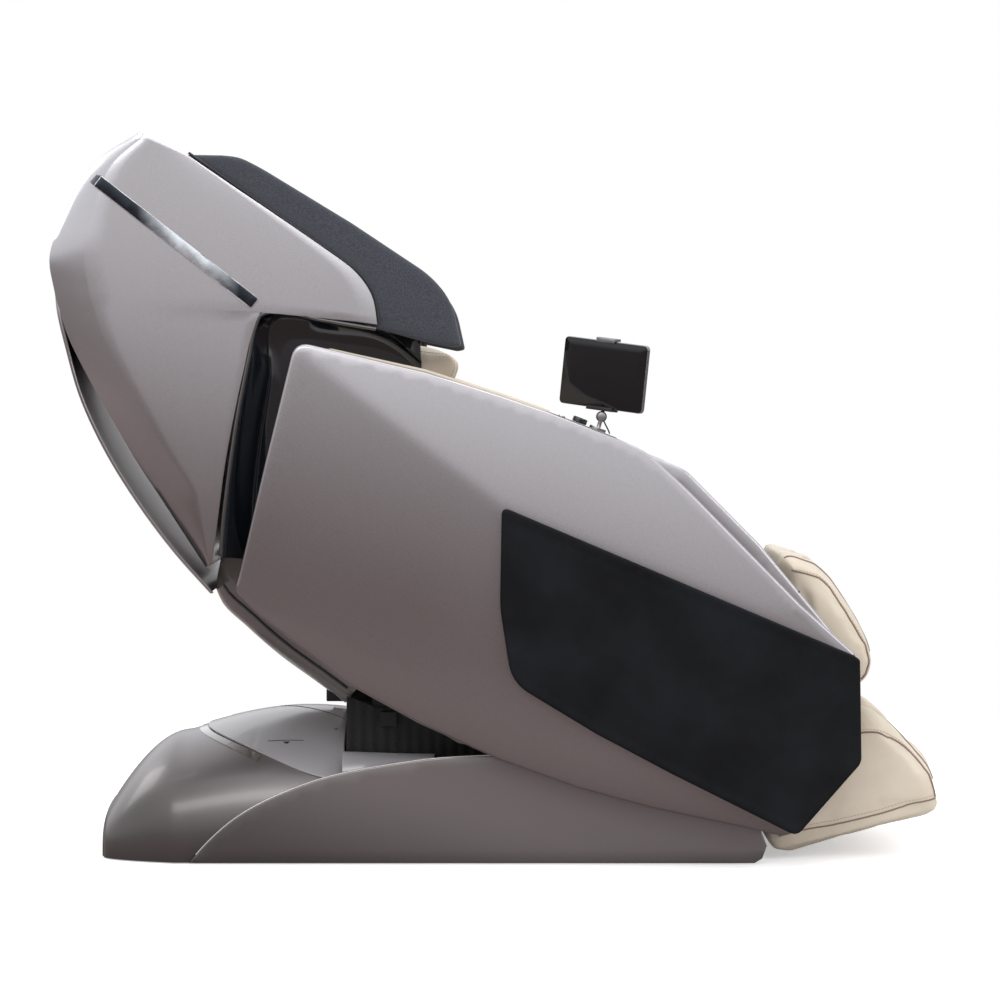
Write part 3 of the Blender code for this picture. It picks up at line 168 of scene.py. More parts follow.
def grained_plastic(name, low, high, grain=900.0, depth=0.00006):
    plastic = Finish(name, low)
    plastic.tint(plastic.noise(40.0, 3.0), low, high)
    plastic.rough(plastic.noise(180.0, 2.0), 0.42, 0.58)
    plastic.bump(plastic.cells(grain), depth, 0.7)
    return plastic.made


def leather(name, low, high, roughness, grain=620.0, depth=0.00014, shine=0.5, sheen=0.04):
    """Upholstery leather: pebbled grain, faint creases and cloudy tone."""
    hide = Finish(name, low, Sheen_Weight=sheen, Sheen_Roughness=0.4, Specular_IOR_Level=shine)
    pebbles = hide.cells(grain, feature="SMOOTH_F1")
    creases = hide.noise(90.0, 4.0, (1, 0.6, 1))
    hide.tint(hide.spread(hide.noise(9.0, 4.0), 0.35, 0.65), low, high)
    hide.rough(creases, roughness, roughness + 0.12)
    hide.bump(hide.sum(pebbles, hide.sum(creases, 0.8, "MULTIPLY")), depth, 0.8)
    return hide.made


def heather_cloth(name, dark, light):
    """Knitted cover in two greys: a fine mottle over an even rib."""
    cloth = Finish(name, dark, Roughness=0.94, Sheen_Weight=0.10, Sheen_Roughness=0.5, Specular_IOR_Level=0.25)
    mottle = cloth.sum(cloth.noise(950.0, 2.0), cloth.noise(380.0, 2.0))
    cloth.tint(cloth.spread(mottle, 0.75, 1.30), dark, light)
    threads = cloth.sum(cloth.cells(1500.0, (1, 1, 0.6)), cloth.noise(700.0, 2.0))
    cloth.bump(threads, 0.0002, 0.8)
    return cloth.made


def metal(name, low, high, roughness, stretch=(1, 1, 1)):
    """Bare or coated steel, with marks drawn out along its brushing."""
    steel = Finish(name, low, Metallic=0.9)
    marks = steel.noise(220.0, 3.0, stretch)
    steel.tint(marks, low, high)
    steel.rough(marks, roughness - 0.06, roughness + 0.08)
    steel.bump(marks, 0.00003, 0.6)
    return steel.made


STRIP_BRIGHTENS, STRIP_DARKENS = (-0.615, -0.545), (-0.500, -0.440)  # x where the strip turns from dark to bright, and where it turns dark again


def strip_dark_at_ends(name):
    """Brushed steel, darker towards both ends of its run along the hood's side."""
    steel = Finish(name, (0.10, 0.11, 0.13), Metallic=0.9)
    place = steel.node("ShaderNodeSeparateXYZ", {0: steel.coords}).outputs["X"]
    rise, fall = steel.spread(place, *STRIP_BRIGHTENS), steel.spread(place, *STRIP_DARKENS, 1.0, 0.0)
    marks = steel.noise(260.0, 2.0, (0.25, 1, 0.4))
    middle = steel.sum(steel.sum(rise, fall, "MULTIPLY"), steel.spread(marks, 0.3, 0.7, 0.92, 1.06), "MULTIPLY")
    steel.tint(middle, (0.030, 0.036, 0.044), (0.62, 0.66, 0.70))
    steel.rough(marks, 0.22, 0.34)
    steel.bump(marks, 0.00002, 0.5)
    return steel.made


def glass_front(name):
    coat = {"Coat_Weight": 0.25, "Coat_Roughness": 0.01, "Coat_IOR": 1.5}
    screen = Finish(name, (0.006, 0.006, 0.007), Specular_IOR_Level=0.3, **coat)
    screen.tint(screen.noise(6.0, 1.0), (0.005, 0.005, 0.006), (0.010, 0.010, 0.011))
    screen.rough(screen.noise(30.0, 3.0), 0.03, 0.07)
    return screen.made


# The shell's warm dark low tone and pale grey high tone are painted shade and painted light, spread by height.
SHELL = metallic_paint("shell_paint", (0.185, 0.160, 0.160), (0.455, 0.445, 0.462), 0.28, painted_shade_heights=(0.34, 0.92))
# The base paint runs from dark taupe low down and at the rear to a lighter taupe higher up: painted shade laid on with
# height.
BASE = metallic_paint(
    "base_paint", (0.088, 0.080, 0.078), (0.196, 0.179, 0.177), 0.34, coat=0.22, painted_shade_heights=(-0.16, 0.10)
)
GLOSS = gloss_plastic("dark_gloss", (0.006, 0.008, 0.011), (0.011, 0.014, 0.019))
SMOKED = gloss_plastic("smoked_rim", (0.034, 0.030, 0.029), (0.046, 0.041, 0.040), 0.10)
BROWN_GLOSS = gloss_plastic("smoked_gloss", (0.062, 0.052, 0.046), (0.085, 0.073, 0.066), 0.12)
BLACK = grained_plastic("black_plastic", (0.010, 0.010, 0.011), (0.020, 0.020, 0.022))
SKIRT = heather_cloth("skirt_cloth", (0.010, 0.010, 0.010), (0.017, 0.017, 0.017))
RUBBER = grained_plastic("rubber", (0.013, 0.013, 0.013), (0.026, 0.026, 0.026), 400.0, 0.0001)
PAD_HIDE = leather(
    "black_hide", (0.0040, 0.0045, 0.0056), (0.0075, 0.0083, 0.0100), 0.50, 780.0, 0.00012, 0.10, 0.01
)
CLOTH = heather_cloth("hood_cloth", (0.033, 0.036, 0.044), (0.066, 0.070, 0.082))
HIDE = leather("cream_hide", (0.500, 0.430, 0.336), (0.572, 0.498, 0.398), 0.44)
PIPING = leather("piping", (0.155, 0.105, 0.078), (0.230, 0.165, 0.125), 0.5, 900.0, 0.0001)
THREAD = grained_plastic("thread", (0.300, 0.245, 0.180), (0.400, 0.335, 0.255), 2500.0, 0.0001)
COATED = metal("coated_steel", (0.020, 0.020, 0.022), (0.034, 0.034, 0.036), 0.45)
BRIGHT = metal("bright_steel", (0.46, 0.46, 0.47), (0.62, 0.62, 0.63), 0.26, (1, 1, 14))
STRIP = strip_dark_at_ends("brushed_strip")
SCREEN = glass_front("screen_glass")
GREY = metal("grey_alloy", (0.20, 0.20, 0.21), (0.27, 0.27, 0.28), 0.34)
GREY_STEEL = metal("grey_steel", (0.27, 0.26, 0.26), (0.36, 0.35, 0.35), 0.30, (1, 1, 14))
# Pale paint for the bead on the base side covers' top edge: a painted highlight where the rounded edge catches the
# light.
PAINTED_HIGHLIGHT_PAINT = metallic_paint("painted_highlight_edge", (0.42, 0.39, 0.39), (0.50, 0.47, 0.47), 0.22)
LID = metallic_paint("lid_paint", (0.270, 0.262, 0.266), (0.315, 0.306, 0.311), 0.36, 0.2)


# ---- mesh tools --------------------------------------------------------------------------------
def make_object(name, mesh, finish, smooth=35):
    obj = bpy.data.objects.new(name, mesh)
    bpy.context.scene.collection.objects.link(obj)
    mesh.materials.append(finish)
    mesh.shade_smooth()
    mesh.set_sharp_from_angle(angle=math.radians(smooth))
    return obj


def from_faces(name, points, faces, finish, smooth=35):
    """A mesh object with all faces turned out of their closed body."""
    mesh = bpy.data.meshes.new(name)
    mesh.from_pydata([tuple(map(float, p)) for p in points], [], [tuple(map(int, f)) for f in faces])
    bm = bmesh.new()
    bm.from_mesh(mesh)
    bmesh.ops.remove_doubles(bm, verts=bm.verts, dist=1e-6)
    bmesh.ops.recalc_face_normals(bm, faces=bm.faces)
    bm.to_mesh(mesh)
    bm.free()
    return make_object(name, mesh, finish, smooth)


def applied(obj, smooth=35):
    """The same object with its modifiers made part of its mesh."""
    graph = bpy.context.evaluated_depsgraph_get()
    graph.update()
    mesh = bpy.data.meshes.new_from_object(obj.evaluated_get(graph))
    obj.modifiers.clear()
    obj.data = mesh
    mesh.shade_smooth()
    mesh.set_sharp_from_angle(angle=math.radians(smooth))
    return obj


def eased(obj, width, segments=3, angle=30):
    """Its sharp edges rounded."""
    made = obj.modifiers.new("edges", "BEVEL")
    made.width, made.segments = width, segments
    made.limit_method, made.angle_limit = "ANGLE", math.radians(angle)
    made.harden_normals = False
    return applied(obj)


def rounded(points, radius, steps=6):
    """The outline with its corners rounded; radius is one value or one per corner."""
    radii = radius if isinstance(radius, (list, tuple)) else [radius] * len(points)
    out = []
    for i, (point, size) in enumerate(zip(points, radii)):
        here = Vector(point)
        before, after = Vector(points[i - 1]) - here, Vector(points[(i + 1) % len(points)]) - here
        if size <= 0:
            out.append(here)
            continue
        reach = min(size, before.length * 0.48, after.length * 0.48)
        start, end = here + before.normalized() * reach, here + after.normalized() * reach
        for k in range(steps + 1):
            t = k / steps
            out.append(start * (1 - t) ** 2 + here * 2 * t * (1 - t) + end * t**2)
    return out


def resample(line, step, closed=True):
    """The line with more points, no more than step apart."""
    points = [Vector(p) for p in line]
    out = []
    for a, b in zip(points, points[1:] + points[:1] if closed else points[1:]):
        count = max(1, math.ceil((b - a).length / step))
        out += [a.lerp(b, k / count) for k in range(count)]
    return out if closed else out + [points[-1]]


def smooth_line(points, count):
    """count points, or rows of points, spread along a smooth curve through the given ones."""
    p = np.array(points, float)
    length = np.linalg.norm((p[1:] - p[:-1]).reshape(len(p) - 1, -1), axis=1)
    s = np.concatenate([[0], np.cumsum(length)])
    slope = np.gradient(p, s, axis=0)
    t = np.linspace(0, s[-1], count)
    i = np.clip(np.searchsorted(s, t, side="right") - 1, 0, len(p) - 2)
    shape = (-1,) + (1,) * (p.ndim - 1)
    h = (s[i + 1] - s[i]).reshape(shape)
    u = ((t - s[i]) / (s[i + 1] - s[i])).reshape(shape)
    start = (2 * u**3 - 3 * u**2 + 1) * p[i] + (u**3 - 2 * u**2 + u) * h * slope[i]
    return start + (3 * u**2 - 2 * u**3) * p[i + 1] + (u**3 - u**2) * h * slope[i + 1]


def edge_distance(points, loop):
    """How far each point lies from the closed line."""
    a = np.array(loop, float)
    along = np.roll(a, -1, 0) - a
    out = []
    for chunk in np.array_split(np.array(points, float), max(1, len(points) * len(a) // 400000)):
        p = chunk[:, None, :]
        t = np.clip(((p - a) * along).sum(2) / (along**2).sum(1), 0, 1)
        out.append(np.linalg.norm(p - (a + t[..., None] * along), axis=2).min(1))
    return np.concatenate(out)


def inside(points, loop):
    a = np.array(loop, float)
    b = np.roll(a, -1, 0)
    x, y = points[:, 0][:, None], points[:, 1][:, None]
    crosses = (a[:, 1] > y) != (b[:, 1] > y)
    rise = np.where(np.abs(b[:, 1] - a[:, 1]) < 1e-12, 1e-12, b[:, 1] - a[:, 1])
    at = a[:, 0] + (y - a[:, 1]) / rise * (b[:, 0] - a[:, 0])
    return ((crosses & (x < at)).sum(1) % 2) == 1


def field(loop, step, rows):
    """Points and triangles that fill the loop, with rows of points along its edge, and the loop's own indices."""
    line = np.array(loop, float)
    area = (line[:, 0] * np.roll(line[:, 1], -1) - line[:, 1] * np.roll(line[:, 0], -1)).sum()
    tangent = np.roll(line, -1, 0) - np.roll(line, 1, 0)
    normal = np.stack([-tangent[:, 1], tangent[:, 0]], 1) * np.sign(area)
    normal /= np.maximum(np.linalg.norm(normal, axis=1, keepdims=True), 1e-9)
    points = [line]
    for depth in rows:
        row = line + normal * depth
        points.append(row[(edge_distance(row, line) > depth * 0.97) & inside(row, line)])
    low, high = line.min(0), line.max(0)
    xs, ys = (np.arange(low[k] + step / 2, high[k], step) for k in range(2))
    grid = np.stack(np.meshgrid(xs, ys), -1).reshape(-1, 2)
    grid = grid[inside(grid, line)]
    points.append(grid[edge_distance(grid, line) > rows[-1] + step * 0.6])
    points = np.concatenate(points)
    edges = [(i, (i + 1) % len(line)) for i in range(len(line))]
    found = geometry.delaunay_2d_cdt([Vector(p) for p in points], edges, [], 1, 1e-7)
    place = {source: i for i, sources in enumerate(found[3]) for source in sources}
    return np.array(found[0]), [tuple(f) for f in found[2]], [place[i] for i in range(len(line))]


def plate(name, outline, face, back, radius, side, finish, step=0.012, shape=None, soft_back=False):
    """A closed panel standing in the XZ plane. Its face lies at face(x, z) off the middle and its back at
    back, its edge has that radius, and shape(distance from the edge, x, z) moves the face in or out."""
    loop = resample(outline, step * 0.7)
    rows = [radius * k for k in (0.07, 0.25, 0.55, 1.0)]
    points, triangles, rim = field(loop, step, rows)
    x, z = points[:, 0], points[:, 1]
    depth = edge_distance(points, loop)
    drop = radius * (1 - np.sqrt(1 - (1 - np.minimum(depth, radius) / radius) ** 2))
    front = face(x, z) - drop + (shape(depth, x, z) if shape else 0)
    behind = np.full(len(x), float(back)) + (drop if soft_back else 0)
    count = len(points)
    body = [(px, side * py, pz) for px, py, pz in zip(x, front, z)]
    body += [(px, side * py, pz) for px, py, pz in zip(x, behind, z)]
    faces = list(triangles) + [tuple(i + count for i in t[::-1]) for t in triangles]
    for a, b in zip(rim, rim[1:] + rim[:1]):
        faces.append((a, b, b + count, a + count))
    return from_faces(name, body, faces, finish, 50)


def flat(value):
    return lambda x, z: np.full(np.shape(x), float(value))


def grid_shell(name, grid, wall, centre, finish, cap=False, smooth=35, ease=0.0008):
    """A thin shell: the grid of points is its outer face, and its wall goes towards the centre."""
    grid = np.array(grid, float)
    rows, cols = grid.shape[:2]
    bm = bmesh.new()
    verts = [[bm.verts.new(p) for p in row] for row in grid]
    for r in range(rows - 1):
        for c in range(cols - 1):
            bm.faces.new((verts[r][c], verts[r][c + 1], verts[r + 1][c + 1], verts[r + 1][c]))
    if cap:
        bm.faces.new(verts[0])
    bmesh.ops.remove_doubles(bm, verts=bm.verts, dist=1e-6)
    bmesh.ops.recalc_face_normals(bm, faces=bm.faces)
    middle = Vector(centre)
    out = sum((f.calc_center_median() - middle).dot(f.normal) * f.calc_area() for f in bm.faces)
    if out < 0:
        bmesh.ops.reverse_faces(bm, faces=bm.faces)
    mesh = bpy.data.meshes.new(name)
    bm.to_mesh(mesh)
    bm.free()
    obj = make_object(name, mesh, finish, smooth)
    thick = obj.modifiers.new("wall", "SOLIDIFY")
    thick.thickness, thick.offset, thick.use_even_offset = wall, -1, True
    thick.use_quality_normals = True
    applied(obj, smooth)
    return eased(obj, ease, 2, 60) if ease else obj


def ring(centre, across, other, radius, sides):
    """Points round the centre, in the plane of the two directions."""
    turns = [2 * math.pi * k / sides for k in range(sides)]
    return [centre + (across * math.cos(t) + other * math.sin(t)) * radius for t in turns]


def tube(name, points, radius, finish, sides=10, closed=False):
    """A round bar of that radius along the points."""
    line = [Vector(p) for p in points]
    rings, across = [], None
    for i, here in enumerate(line):
        before = line[i - 1] if closed or i else here
        after = line[(i + 1) % len(line)] if closed or i < len(line) - 1 else here
        along = (after - before).normalized()
        if across is None:
            across = along.orthogonal().normalized()
        across = (across - along * across.dot(along)).normalized()
        rings.append(ring(here, across, along.cross(across), radius, sides))
    points = [p for turn in rings for p in turn]
    count = len(rings)
    faces = []
    for r in range(count if closed else count - 1):
        for k in range(sides):
            a, b = r * sides + k, r * sides + (k + 1) % sides
            c, d = ((r + 1) % count) * sides + (k + 1) % sides, ((r + 1) % count) * sides + k
            faces.append((a, b, c, d))
    if not closed:
        faces += [tuple(range(sides)), tuple(range((count - 1) * sides, count * sides))]
    return from_faces(name, points, faces, finish, 60)


def joined(name, pieces):
    """Several mesh objects made one."""
    with bpy.context.temp_override(active_object=pieces[0], selected_editable_objects=pieces):
        bpy.ops.object.join()
    pieces[0].name = name
    return pieces[0]


def mirrored(point, side):
    return Vector((point[0], side * point[1], point[2]))


def shown(piece, body, slot, *nodes, fill=None):
    """The piece stands for those CAD nodes and rides on their body; fill is not used."""
    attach(piece, body)
    if nodes:
        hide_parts(*nodes)


# ---- camera and cord ---------------------------------------------------------------------------
CAMERA_AT = (0.010, -6.50, 0.8315)
CAMERA_DIP = 1.81  # degrees that it looks down
CAMERA_LENS, SENSOR_WIDTH = 127.7, 36.0  # millimetres


def add_camera():
    """Square on to the chair's right side, from far off and a little above its middle."""
    data = bpy.data.cameras.new("camera")
    camera = bpy.data.objects.new("camera", data)
    bpy.context.scene.collection.objects.link(camera)
    data.sensor_width, data.lens, data.clip_end = SENSOR_WIDTH, CAMERA_LENS, 50.0
    camera.location = CAMERA_AT
    camera.rotation_euler = (math.radians(90 - CAMERA_DIP), 0, 0)
    bpy.context.scene.camera = camera


USB_RADIUS = 0.0013
USB_ROUTE = [
    (0.1880, -0.3214, 0.7800), (0.1881, -0.3180, 0.7800), (0.1886, -0.3148, 0.7791),
    (0.1896, -0.3121, 0.7769), (0.1911, -0.3104, 0.7737), (0.1930, -0.3097, 0.7697),
    (0.1952, -0.3098, 0.7652), (0.1975, -0.3104, 0.7608), (0.1995, -0.3114, 0.7565),
    (0.2006, -0.3125, 0.7535), (0.2010, -0.3131, 0.7516),
]


def usb_cable():
    """The short charging lead from the tablet's holder down into the armrest."""
    route = smooth_line(USB_ROUTE, 31)
    length = float(np.linalg.norm(route[1:] - route[:-1], axis=1).sum())
    lead = tube("usb_lead", route, USB_RADIUS, BLACK, 12)
    shown(lead, "pod", "black_plastic", "usb_cable")


# ---- hood --------------------------------------------------------------------------------------
# The hood's rear and front edges from its roof down to the trims' upper edge, and the lines below that: x and z.
HOOD_REAR = [(-0.622, 1.278), (-0.700, 1.222), (-0.752, 1.130), (-0.778, 1.060), (-0.768, 0.990)]
HOOD_FRONT = [(-0.530, 1.234), (-0.238, 1.0315), (-0.208, 0.990), (-0.202, 0.941)]
HOOD_LOW_LINES = [
    ((-0.762, 0.970), (-0.403, 0.950)), ((-0.750, 0.930), (-0.418, 0.920)),
    ((-0.719, 0.864), (-0.432, 0.864)), ((-0.672, 0.780), (-0.449, 0.786)),
    ((-0.622, 0.694), (-0.465, 0.700)), ((-0.560, 0.602), (-0.477, 0.610)),
    ((-0.503, 0.519), (-0.487, 0.532)),
]
# Where the hood's lower edge bends, how far it rises there, and how far ahead and behind it the rise dies out.
HOOD_BROW = (-0.402, 0.0135, 0.200, 0.366)
HOOD_BULGE = 0.015  # how far the back bows out in its middle
BAND = (0.022, 0.070)  # width of the bevelled band at the rear edge, at the roof and low down
BAND_IN = 0.040  # how far the band comes in over its width
BAND_STEP = 0.0025  # and the small step before it


def hood_profile(share):
    """The side, bevelled band and back of one line: pairs of half width and reach from the rear."""
    wide = BAND[0] + (BAND[1] - BAND[0]) * min(1.0, share * 2.2)
    side = [(HOOD_HALF - 0.0015 * (1 - k / 14) ** 2, wide + 0.006, 1.0 - k / 14) for k in range(14)]
    turn = [(HOOD_HALF - 0.0004, wide + 0.004), (HOOD_HALF - 0.0025, wide - 0.001)]
    band = []
    for k in range(1, 6):
        half = HOOD_HALF - BAND_IN * (k / 5) ** 1.25 - BAND_STEP
        band.append((half, wide * (1 - k / 5) ** 1.15 + 0.006 * k / 5))
    inner = HOOD_HALF - BAND_IN - BAND_STEP
    back = [(inner * (1 - k / 10), 0.006 - (0.006 + HOOD_BULGE) * math.sin(k / 10 * math.pi / 2)) for k in range(1, 11)]
    return side, turn + band + back


def hood_line(rear, front, share):
    """One line of the hood, from its right front edge round the back to its left one."""
    b, f = Vector((rear[0], 0, rear[1])), Vector((front[0], 0, front[1]))
    depth = (f - b).length
    along = (f - b) / depth
    side, rest = hood_profile(share)
    squeeze = min(1, depth / 0.12)  # where the side is narrow, so is the band
    half = [(y, near * squeeze + (depth - near * squeeze) * reach) for y, near, reach in side]
    half += [(y, reach * squeeze if reach > 0 else reach) for y, reach in rest]
    right = [b + along * reach + Vector((0, -y, 0)) for y, reach in half]
    return right + [mirrored(p, -1) for p in right[-2::-1]]


def even(line, count):
    """count points spread evenly along the line."""
    p = np.array([tuple(point) for point in line], float)
    s = np.concatenate([[0], np.cumsum(np.linalg.norm(p[1:] - p[:-1], axis=1))])
    t = np.linspace(0, s[-1], count)
    return np.stack([np.interp(t, s, p[:, k]) for k in range(2)], 1)


def hood_front():
    """The hood's front edge with its corners rounded."""
    return rounded(HOOD_FRONT, [0, 0.035, 0.03, 0], 8)


def hood_grid():
    """Points over the whole hood, the lines spread evenly down it, its lower front edge bent up at the brow."""
    upper, lower = 34, 26  # lines above and below the trims' upper edge
    top = np.concatenate([even(smooth_line(HOOD_REAR, 60), upper), even(hood_front(), upper)], 1)
    low = smooth_line([(*b, *f) for b, f in HOOD_LOW_LINES], lower)
    lines = np.concatenate([top, low])
    count = len(lines) - 1
    share = [i / (upper - 1) for i in range(upper)] + [max(0, 1 - i / 5) for i in range(lower)]
    at, lift, ahead, behind = HOOD_BROW
    grid = []
    for i, line in enumerate(lines):
        row = hood_line(line[:2], line[2:], i / count)
        for p in row:
            near = 1 - (p.x - at) / (ahead if p.x > at else -behind)
            p.z += lift * max(0.0, near) * share[i] ** 2
        grid.append(row)
    return grid


def hood():
    grid = hood_grid()
    shell = grid_shell("hood", grid, 0.005, (-0.50, 0, 0.95), SHELL, cap=True, ease=0.0016)
    shown(shell, "backrest", "shell_paint", "hood_shell")


STRIP_REAR, STRIP_FRONT = Vector((-0.700, 1.201)), Vector((-0.413, 0.977))
STRIP_WIDE, STRIP_OUT = 0.0205, 0.0012


def hood_strips():
    """The brushed strip let into each side, with a fine bright edge, carried on round the rear band."""
    run = (STRIP_FRONT - STRIP_REAR).normalized()
    up = Vector((-run.y, run.x)) * STRIP_WIDE / 2
    for side, label in SIDES:
        start = STRIP_REAR + run * 0.022
        corners = [start - up, STRIP_FRONT - up, STRIP_FRONT + up, start + up]
        outline = rounded([tuple(c) for c in corners], [0.001, 0.004, 0.004, 0.001], 4)
        face = flat(HOOD_HALF + STRIP_OUT)
        strip = plate("hood_strip", outline, face, HOOD_HALF - 0.001, 0.0008, side, STRIP, 0.01)
        rim = [(p.x, side * (HOOD_HALF + 0.0003), p.y) for p in resample(outline, 0.01)]
        edge = tube("strip_edge", rim, 0.0010, BRIGHT, 6, closed=True)
        piece = joined("hood_strip_piece_" + label, [strip, edge])
        shown(piece, "backrest", "dark_gloss", "hood_strip_" + label)
    strip_round_back(run)


def strip_round_back(run):
    """The strip's way over the bevelled band and across the back, laid on the hood."""
    half = [(HOOD_HALF, 0.026), (HOOD_HALF - 0.010, 0.015), (HOOD_HALF - 0.028, 0.006)]
    half += [(HOOD_HALF - 0.05, 0.001), (0.22, -0.008), (0.11, -0.0135), (0, -0.0155)]
    line = [(y, reach - STRIP_OUT) for y, reach in half]
    rows = []
    for lift in (-0.5, 0.5):
        at = STRIP_REAR + Vector((-run.y, run.x)) * STRIP_WIDE * lift
        row = [(at.x + run.x * reach, -y, at.y + run.y * reach) for y, reach in line]
        rows.append(row + [(x, -y, z) for x, y, z in row[-2::-1]])
    grid = [smooth_line(row, 41) for row in rows]
    wrap = grid_shell("hood_strip_rear", grid, 0.002, (-0.50, 0, 1.10), STRIP, ease=0)
    shown(wrap, "backrest", "dark_gloss")


HOOD_PAD = [
    (-0.532, 1.234), (-0.470, 1.233), (-0.440, 1.230), (-0.404, 1.212), (-0.246, 1.116),
    (-0.109, 1.025), (-0.074, 0.982), (-0.057, 0.905), (-0.072, 0.902), (-0.130, 0.914),
    (-0.204, 0.934), (-0.270, 0.962), (-0.310, 1.040), (-0.430, 1.120),
]


def hood_pads():
    """Cloth pads along the hood's front, domed inwards and out, with a welt by the hood's edge."""
    outline = rounded(HOOD_PAD, [0.002, 0, 0.02, 0.03, 0, 0.03, 0.03, 0.006, 0.004, 0, 0, 0.02, 0, 0])
    inner = TRIM_FACE - 0.004

    def dome(depth, x, z):
        return 0.004 * np.minimum(1, depth / 0.05)

    for side, label in SIDES:
        pad = plate("pad", outline, flat(HOOD_HALF - 0.0075), inner, 0.010, side, CLOTH, 0.012, dome, True)
        welt = [(x + 0.0035, side * (HOOD_HALF - 0.003), z + 0.0025) for x, z in hood_front()]
        seam = tube("welt", welt, 0.0022, BLACK, 8)
        piece = joined("hood_pad_soft_" + label, [pad, seam])
        shown(piece, "backrest", "black_fabric", "hood_pad_" + label, fill=0.9)


# ---- trims, back cover and lower shell ----------------------------------------------------------
TRIM_BORDER = [
    (-0.476, 0.540), (-0.472, 0.580), (-0.460, 0.690), (-0.443, 0.800), (-0.427, 0.885),
    (-0.416, 0.950), (-0.396, 0.983), (-0.372, 0.984), (-0.280, 0.970), (-0.206, 0.956), (-0.130, 0.925),
]
TRIM_FRONT = [
    (-0.400, 0.525), (-0.395, 0.545), (-0.350, 0.570), (-0.310, 0.610), (-0.270, 0.660),
    (-0.240, 0.700), (-0.228, 0.716), (-0.200, 0.730), (-0.170, 0.750), (-0.145, 0.775), (-0.125, 0.800),
]
TRIM_RIM = [
    (-0.473, 0.545), (-0.4705, 0.580), (-0.4575, 0.690), (-0.4405, 0.800), (-0.4235, 0.885), (-0.4125, 0.9375),
    (-0.4040, 0.9560), (-0.3860, 0.9630), (-0.300, 0.9490), (-0.204, 0.9330),
]


def side_trims():
    """Glossy bowls between hood and arms: a cove from the hood to a flat inner face, and a rim by the hood."""
    border = smooth_line(TRIM_BORDER, 90)
    front = smooth_line(TRIM_FRONT, 90)
    aim = (front - border) / np.linalg.norm(front - border, axis=1, keepdims=True)
    rim_y = HOOD_HALF - 0.0054
    turned = np.clip((border[:, 1] - 0.90) / 0.07, 0, 1)  # over the arm the cove is short
    reach = 0.058 - 0.026 * turned * turned * (3 - 2 * turned)
    edge = np.clip((border[:, 0] + 0.24) / 0.09, 0, 1) ** 0.5  # forward of the hood the rim runs inwards
    for side, label in SIDES:
        rows = []
        for k in range(15):
            t = k / 14
            drop = (rim_y - TRIM_FACE) * math.sin(t * math.pi / 2) ** 1.5
            y = rim_y - np.maximum(drop, edge * (rim_y - TRIM_FACE - 0.004) * (t < 0.95))
            line = border + aim * (reach * t + 0.004 * (t > 0))[:, None]
            rows.append([(p[0], side * q, p[1]) for p, q in zip(line, y)])
        inner = border + aim * (reach + 0.004)[:, None]
        for share in (0.15, 0.5, 1.0):
            rows.append([(p[0], side * TRIM_FACE, p[1]) for p in inner + (front - inner) * share])
        trim = grid_shell("side_trim_gloss_" + label, rows, 0.003, (-0.25, 0, 0.78), GLOSS)
        path = [(x, side * (HOOD_HALF - 0.0046), z) for x, z in smooth_line(TRIM_RIM, 90)]
        rim = tube("rim", path, 0.0036, SMOKED)
        shown(joined("side_trim_gloss_" + label, [trim, rim]), "backrest", "dark_gloss", "side_trim_" + label)


BACK_PATH = [
    (-0.793, 1.022), (-0.780, 0.962), (-0.761, 0.902), (-0.733, 0.814), (-0.687, 0.718),
    (-0.632, 0.630), (-0.562, 0.537), (-0.502, 0.470),
]
BACK_HALVES = [0.150, 0.225, 0.275, 0.305, 0.322, 0.330, 0.334, 0.336]


def back_cover():
    """The shield over the lower back, standing a little behind the hood."""
    rows = smooth_line([(*p, half) for p, half in zip(BACK_PATH, BACK_HALVES)], 40)
    grid = []
    for x, z, half in rows:
        row = []
        for k in range(-20, 21):
            s = k / 20
            lift = 0.34 * abs(s) ** 9 + 0.05 * s * s
            row.append((x + 0.030 * lift, half * s, z + 0.010 * lift))
        grid.append(row)
    cover = grid_shell("back_shield", grid, 0.003, (-0.30, 0, 0.80), BASE)
    shown(cover, "backrest", "base_paint", "back_cover")


LOWER_PATH = [
    (-0.4945, 0.4705), (-0.488, 0.452), (-0.440, 0.402), (-0.380, 0.350), (-0.322, 0.308), (-0.268, 0.268),
]
STRAP_LOW, STRAP_HIGH = (-0.300, 0.150, 0.272), (-0.2123, 0.180, 0.294)  # the left strap that holds the trough


def lower_shell():
    """The smoked trough under the hips, with a raised bead along each side."""
    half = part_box("lower_shell")[1].y
    across = [
        (half, 0.110), (half, 0.085), (half, 0.060), (half - 0.002, 0.045), (half - 0.009, 0.026),
        (half - 0.020, 0.014), (half - 0.040, 0.008), (0.190, 0.004), (0.150, 0.001), (0.0, 0.0),
    ]
    path = smooth_line(LOWER_PATH, 24)
    run = np.gradient(path, axis=0)
    inward = np.stack([-run[:, 1], run[:, 0]], 1) / np.linalg.norm(run, axis=1, keepdims=True)
    lean = np.clip(1 - np.arange(len(path)) / 4, 0, 1)[:, None]  # its rear end stands up behind the hip
    inward = inward * (1 - lean) + np.array([0.22, 0.975]) * lean
    profile = smooth_line(across, 30)
    grid = []
    for (x, z), (ix, iz) in zip(path, inward):
        left = [(x + ix * off, -y, z + iz * off) for y, off in profile]
        grid.append(left + [(px, -py, pz) for px, py, pz in left[-2::-1]])
    pieces = [grid_shell("trough", grid, 0.005, (-0.30, 0, 0.45), BROWN_GLOSS)]
    for side, _ in SIDES:
        bead = [(x + ix * 0.033, side * (half - 0.004), z + iz * 0.033) for (x, z), (ix, iz) in zip(path, inward)]
        pieces.append(tube("bead", bead[1:-1], 0.0025, GLOSS, 8))
        near, far = sorted((side * STRAP_LOW[1], side * STRAP_HIGH[1]))
        low, high = (STRAP_LOW[0], near, STRAP_LOW[2]), (STRAP_HIGH[0], far, STRAP_HIGH[2])
        pieces.append(from_box("strap", low, high, COATED))
    shown(joined("lower_trough", pieces), "pod", "base_paint", "lower_shell")


